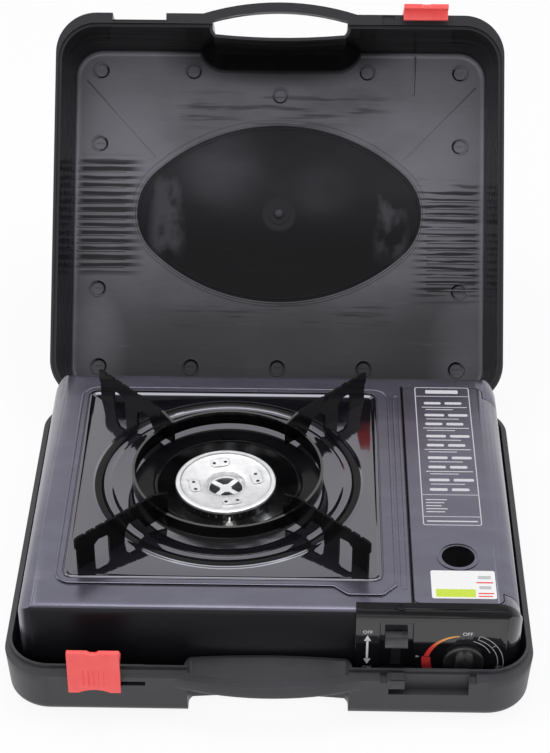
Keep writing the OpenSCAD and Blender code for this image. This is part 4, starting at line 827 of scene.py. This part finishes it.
# raised lines pressed in the top sheet: a rim round the pan's field with a tongue in front, and a rib at the seam
topLook = {
    "field": panLook["flat"] + 0.5, "top": panLook["flat"] - 0.5, "margin": 5.5, "right": 9.5, "corner": 12.0,
    "bead": (1.0, 0.55),
    "tongue": {"start": 44.0, "out": 9.0, "from": 34.0, "to": 10.0, "rise": 2.0, "corners": (6.0, 4.0)},
    "rib": {"left": 94.6, "right": 98.8, "front": -112.0, "back": 121.0, "corner": 1.8, "bead": (0.8, 0.5)},
}
fieldLeft = panX - panLook["halfW"] - topLook["margin"]
fieldRight = panX + panLook["halfW"] + topLook["right"]
fieldFront = panY - panLook["halfD"] - topLook["margin"]
fieldBack = panY + panLook["halfD"] + topLook["margin"]
tongue, rib = topLook["tongue"], topLook["rib"]
tongueCorner, tipCorner = tongue["corners"]
beadPiece("field_rim", filletPath([
    (fieldLeft, fieldFront, topLook["corner"]), (fieldRight - tongue["start"], fieldFront, tongueCorner),
    (fieldRight - tongue["from"], fieldFront - tongue["out"], tongueCorner),
    (fieldRight - tongue["to"], fieldFront - tongue["out"], tipCorner),
    (fieldRight, fieldFront + tongue["rise"], tipCorner),
    (fieldRight, fieldBack, topLook["corner"]), (fieldLeft, fieldBack, topLook["corner"]),
]), topLook["field"], halfRound(*topLook["bead"]), "body", "stove")
beadPiece("seam_rib", filletPath([
    (rib["left"], rib["front"], rib["corner"]), (rib["right"], rib["front"], rib["corner"]),
    (rib["right"], rib["back"], rib["corner"]), (rib["left"], rib["back"], rib["corner"]),
]), topLook["top"], halfRound(*rib["bead"]), "body", "stove")

# what lies inside the lid is laid out on the closed lid, by x and the distance from the hinge
lidInnerZ = 107.5
hingeY = lidHinge.y / mm
ovalLook = {
    "middle": 171.0, "halfW": 123.8, "halfD": 77.4, "endShare": 0.62, "steps": 40,
    "beads": {  # outwards, above the panel, half width and height
        "oval_rim": (1.1, 0.0, 0.7, 0.5),
        "oval_line": (-2.8, 1.2, 0.6, 0.5),
    },
}


# two long arcs and two round ends
def ovalPath(grow):
    halfW, halfD, steps = ovalLook["halfW"], ovalLook["halfD"], ovalLook["steps"]
    endR = halfD * ovalLook["endShare"]
    sideR = (halfW ** 2 + halfD ** 2 - 2 * halfW * endR) / (2 * (halfD - endR))
    endX = halfW - endR
    drop = sideR - halfD
    turn = math.atan2(drop, endX)
    arcs = [
        ((endX, 0), endR, -turn, turn), ((0, -drop), sideR, turn, math.pi - turn),
        ((-endX, 0), endR, math.pi - turn, math.pi + turn), ((0, drop), sideR, math.pi + turn, 2 * math.pi - turn),
    ]
    path = []
    for (x, y), radius, start, end in arcs:
        for k in range(steps):
            a = start + (end - start) * k / steps
            reach = radius + grow
            path.append((x + reach * math.cos(a), hingeY - ovalLook["middle"] + y + reach * math.sin(a)))
    return path


def hangDown(profile):
    return [(out, -height) for out, height in profile]


for name, (grow, rise, half, height) in ovalLook["beads"].items():
    beadPiece(
        name, ovalPath(grow), lidInnerZ + rise, hangDown(halfRound(half, height)), "lid", "case_lid", lidOpen
    )

# small raised lips round the dimples of the lid
lipLook = {
    "radius": 7.1, "bead": (0.6, 0.45), "spots": [
        (-157, 296), (-76, 296), (76, 296), (157, 296), (0, 275), (-157, 231.5), (157, 231.5),
        (-157, 104), (157, 104), (-155, 36), (-75, 36), (0, 36), (75, 36), (155, 36),
    ],
}
lipTurns = [math.radians(a) for a in range(0, 360, 10)]
lipBead = hangDown(halfRound(*lipLook["bead"], steps=5))
for number, (x, v) in enumerate(lipLook["spots"], 1):
    lip = [(x + lipLook["radius"] * math.cos(a), hingeY - v + lipLook["radius"] * math.sin(a)) for a in lipTurns]
    beadPiece(f"dimple_lip_{number}", lip, lidInnerZ, lipBead, "lid", "case_lid", lidOpen)

# fine creases in the corners of the lid
creaseLook = {
    "crease_left": {"start": (-170, 288), "end": (-108, 220), "half": 0.6, "height": 0.45},
    "crease_right": {"start": (171, 284), "end": (108, 219), "half": 0.6, "height": 0.45},
    "crease_upright": {"start": (118, 318), "end": (116.3, 275), "half": 1.1, "height": 0.8},
}


# a low round ridge with pointed ends; count is the number of points across it
def creasePiece(name, look, count=7, sink=0.1):
    start, end = Vector(look["start"]), Vector(look["end"])
    along = (end - start).normalized()
    side = Vector((along.y, -along.x)) * look["half"]
    point = along * look["half"] * 2
    rows = []
    for base in (start + point, end - point):
        for k in range(count):
            turn = math.pi * k / (count - 1)
            spot = base + side * math.cos(turn)
            rows.append((spot.x, hingeY - spot.y, lidInnerZ + sink - look["height"] * math.sin(turn)))
    tips = [(tip.x, hingeY - tip.y, lidInnerZ + sink) for tip in (start, end)]
    near, far, steps = 2 * count, 2 * count + 1, range(count - 1)
    faces = [(k, k + 1, k + count + 1, k + count) for k in steps] + [(0, count, near - 1, count - 1)]
    faces += [(near, k + 1, k) for k in steps] + [(far, k + count, k + count + 1) for k in steps]
    faces += [(near, 0, count - 1), (far, near - 1, count)]
    return makePiece(name, rows + tips, faces, "lid", "case_lid", lidOpen)


for name, look in creaseLook.items():
    creasePiece(name, look)
print("lid detail made")

# printed marks on the control panel; the plane is x and z, and the ink lies on its front
panelFront = boxOf("control_panel")[0][1]
knobLow, knobHigh = boxOf("control_knob")
dial = ((knobLow[0] + knobHigh[0]) / 2, (knobLow[2] + knobHigh[2]) / 2 - 1.0)
upright = Matrix.Rotation(math.radians(90), 4, "X")
panelInk = {
    "thick": 0.06,
    "wordThick": 0.05,
    "words": {  # text, size and place
        "word_top": ("OFF", 4.0, 70.0, 60.6),
        "word_low": ("ON", 4.0, 70.0, 27.0),
        "word_dial": ("OFF", 4.2, 140.6, 59.8),
    },
    "arrow": {"x": 70.0, "low": 30.4, "high": 57.6, "head": 5.2, "half": 2.5, "stem": 0.8, "overlap": 0.6},
    "marks": {  # an arc has its inner and outer radius at both ends, its angles and its steps
        "heat_arc": {"ink": "heatInk", "arcs": [((23.6, 25.0), (24.4, 28.6), 98, 170, 24)]},
        "hot_band": {"ink": "redInk", "arcs": [((23.6, 22.4), (29.8, 29.4), 171, 212, 14)]},
        "hot_mark": {"ink": "greyInk", "outlines": [[(104.6, 37.4), (107.2, 38.4), (104.6, 39.4)]]},
        "low_arc": {"ink": "greyInk", "arcs": [((20.0, 20.2), (20.5, 20.7), 72, 24, 24)]},
        "low_band": {"ink": "greyInk", "arcs": [
            ((26.2, 28.6), (26.7, 29.1), 66, -10, 24), ((22.6, 24.6), (23.1, 25.1), 66, -10, 24),
            ((22.6, 22.7), (26.7, 26.8), 66, 65, 1), ((24.6, 24.7), (29.1, 29.1), -9, -10, 1),
            ((23.4, 23.4), (27.5, 27.5), 35, 34, 1),
        ]},
        "close_mark": {"ink": "greyInk", "outlines": [
            [(161.6, 27.0), (162.1, 26.6), (164.6, 29.3), (164.1, 29.7)],
            [(164.1, 26.6), (164.6, 27.0), (162.1, 29.7), (161.6, 29.3)],
        ]},
    },
}


def onPanel(a, b, out):
    return (a, panelFront - out, b)


def arrowShape(x, low, high, head, half, stem, overlap):
    foot, neck = low + head, high - head
    stemLow, stemHigh = foot - overlap, neck + overlap
    return [
        [(x - stem, stemLow), (x + stem, stemLow), (x + stem, stemHigh), (x - stem, stemHigh)],
        [(x - half, neck), (x + half, neck), (x, high)],
        [(x - half, foot), (x, low), (x + half, foot)],
    ]


flatPiece("lock_arrow", arrowShape(**panelInk["arrow"]), onPanel, panelInk["thick"], "whiteInk", "stove")
for name, (text, size, x, z) in panelInk["words"].items():
    wordPiece(name, text, size, (x, panelFront, z), upright, panelInk["wordThick"], "whiteInk", "stove")
for name, mark in panelInk["marks"].items():
    outlines = list(mark.get("outlines", []))
    for arc in mark.get("arcs", []):
        outlines += arcPieces(dial, *arc)
    flatPiece(name, outlines, onPanel, panelInk["thick"], mark["ink"], "stove")

# plain frame with ruled lines on the canister cover
coverTop = topLook["top"]
label = {
    "left": 112.4, "right": 156.0, "low": -40.8, "high": 134.0, "line": 0.7, "corner": 2.0, "thick": 0.05,
    "dividers": (121.5, -5.0, -31.0), "dividerInset": 0.4, "dividerLine": 0.6,
    "heading": (121, 147, 125.6, 130.2, 0.6), "foot": (115.5, 153, -36.8, -35.4, 0.4),
    "firstRow": 114.0, "rows": [  # width, height, shift and the space below
        (30, 3.2, 0, 3.4), (36, 0.9, 1, 2.2), (22, 0.9, -3, 5.4), (34, 3.2, 2, 3.0), (26, 0.9, -1, 4.6),
    ],
    "notes": {"left": 115.5, "right": 131.5, "low": -11.2, "high": -10.2, "pitch": 3.6, "shorter": 2.2, "count": 5},
}
left, right, low, high = (label[side] for side in ("left", "right", "low", "high"))
line, corner = label["line"], label["corner"]
frameInk = [
    bar(left + corner, right - corner, low, low + line), bar(left + corner, right - corner, high - line, high),
    bar(left, left + line, low + corner, high - corner), bar(right - line, right, low + corner, high - corner),
]
for x, y, turn in ((left + corner, low + corner, 180), (right - corner, low + corner, 270),
                   (right - corner, high - corner, 0), (left + corner, high - corner, 90)):
    frameInk += arcPieces((x, y), (corner - line, corner - line), (corner, corner), turn, turn + 90, 5)
for height in label["dividers"]:
    inset = label["dividerInset"]
    frameInk.append(bar(left + inset, right - inset, height, height + label["dividerLine"]))
flatPiece("label_frame", frameInk, lyingAt(coverTop), label["thick"], "labelInk", "canister_cover")

ruled = [bar(*label["heading"])]
row, step = label["firstRow"], 0
while row > 0:  # a pair of thick bars stands for a picture, a thin bar for a line of words
    wide, tall, shift, space = label["rows"][step % len(label["rows"])]
    middle = (left + right) / 2 + shift
    if tall > 2:
        ruled.append(bar(middle - wide / 2, middle - 1.5, row - tall, row, 1.2))
        ruled.append(bar(middle + 1.5, middle + wide / 2, row - tall, row, 1.2))
    else:
        ruled.append(bar(middle - wide / 2, middle + wide / 2, row - tall, row, 0.4))
    row -= tall + space
    step += 1
notes = label["notes"]
for k in range(notes["count"]):
    end, down = notes["right"] - notes["shorter"] * (k % 3), notes["pitch"] * k
    ruled.append(bar(notes["left"], end, notes["low"] - down, notes["high"] - down, 0.3))
ruled.append(bar(*label["foot"]))
flatPiece("label_lines", ruled, lyingAt(coverTop), label["thick"], "labelInk", "canister_cover")

# sticker with plain blocks of colour
stickerLook = {
    "outline": (115.4, 161.4, -122.2, -92.0, 1.6), "thick": 0.1, "ink": 0.03,
    "prints": {
        "sticker_band": ("limeInk", [(118.4, 146.6, -120.6, -112.2, 0.3)]),
        "sticker_blocks": ("greyInk", [(149.0, 158.4, -101.0, -97.6, 0.8), (149.5, 158.0, -112.0, -108.6, 0.5)]),
        "sticker_lines": ("redInk", [
            (147.6, 159.6, -105.6, -104.2, 0.3), (148.4, 159.6, -117.2, -115.9, 0.3),
            (148.4, 158.6, -120.2, -119.0, 0.3),
        ]),
    },
}
paperTop = coverTop + stickerLook["thick"]
flatPiece(
    "sticker", [bar(*stickerLook["outline"])], lyingAt(coverTop), stickerLook["thick"], "paper", "canister_cover"
)
for name, (ink, bars) in stickerLook["prints"].items():
    flatPiece(name, [bar(*b) for b in bars], lyingAt(paperTop), stickerLook["ink"], ink, "canister_cover")

# small clip at the back of the dish
clipLook = {"x": -1.5, "y": 58.5, "halfW": 5.5, "halfD": 2.6, "corner": 0.6, "sink": 3.8, "thick": 1.4}
clipX, clipY = panX + clipLook["x"], panY + clipLook["y"]
clipShape = bar(
    clipX - clipLook["halfW"], clipX + clipLook["halfW"], clipY - clipLook["halfD"], clipY + clipLook["halfD"],
    clipLook["corner"],
)
flatPiece(
    "dish_clip", [clipShape], lyingAt(panLook["flat"] - clipLook["sink"]), clipLook["thick"], "support", "drip_pan"
)
print("printed marks made")

# floor, sky and lamps
stageLook = {
    "floorSize": 30.0, "floorColour": (0.86, 0.86, 0.87), "glow": 0.90, "sky": (0.50, 0.50, 0.52),
    "white": (1.0, 1.0, 1.0),
}
floorData = bpy.data.meshes.new("floor")
half = stageLook["floorSize"] / 2
floorData.from_pydata([(-half, -half, 0), (half, -half, 0), (half, half, 0), (-half, half, 0)], [], [(0, 1, 2, 3)])
floor = addObject("floor", floorData)
floorFinish = Finish("floor")
matte = floorFinish.add("ShaderNodeBsdfDiffuse", None, {"Color": stageLook["floorColour"]})
glow = floorFinish.add("ShaderNodeEmission", None, {"Color": stageLook["white"], "Strength": 1.0})
mixed = floorFinish.add(
    "ShaderNodeMixShader", None, {0: floorFinish.seen() * stageLook["glow"], 1: matte[0], 2: glow[0]}
)
floorFinish.add("ShaderNodeOutputMaterial", None, {"Surface": mixed[0]})
floorData.materials.append(floorFinish.material)

world = bpy.data.worlds.new("studio")
bpy.context.scene.world = world
world.use_nodes = True
sky = Finish("studio", world.node_tree)
tint = sky.blend(sky.seen(), stageLook["sky"], stageLook["white"])
back = sky.add("ShaderNodeBackground", None, {"Color": tint, "Strength": 1.0})
sky.add("ShaderNodeOutputWorld", None, {"Surface": back[0]})

lampLooks = {
    "top": {"place": (0.0, 0.3, 2.4), "aim": (0.0, 0.1, 0.0), "size": (2.2, 1.4), "power": 26.0},
    "front": {"place": (-0.5, -2.6, 1.5), "aim": (0.0, 0.1, 0.15), "size": (1.8, 1.0), "power": 14.0},
    "left": {"place": (-2.2, 0.1, 1.1), "aim": (0.0, 0.1, 0.1), "size": (0.8, 1.6), "power": 12.0},
    "right": {"place": (2.2, 0.1, 1.1), "aim": (0.0, 0.1, 0.1), "size": (0.8, 1.6), "power": 12.0},
}
for name, look in lampLooks.items():
    lampData = bpy.data.lights.new(name, "AREA")
    lampData.shape = "RECTANGLE"
    lampData.size, lampData.size_y = look["size"]
    lampData.energy = look["power"]
    lamp = addObject(name, lampData)
    lamp.location = look["place"]
    pointAlong(lamp, Vector(look["aim"]) - Vector(look["place"]))
bpy.context.scene.view_settings.view_transform = "Standard"
print("stage set")
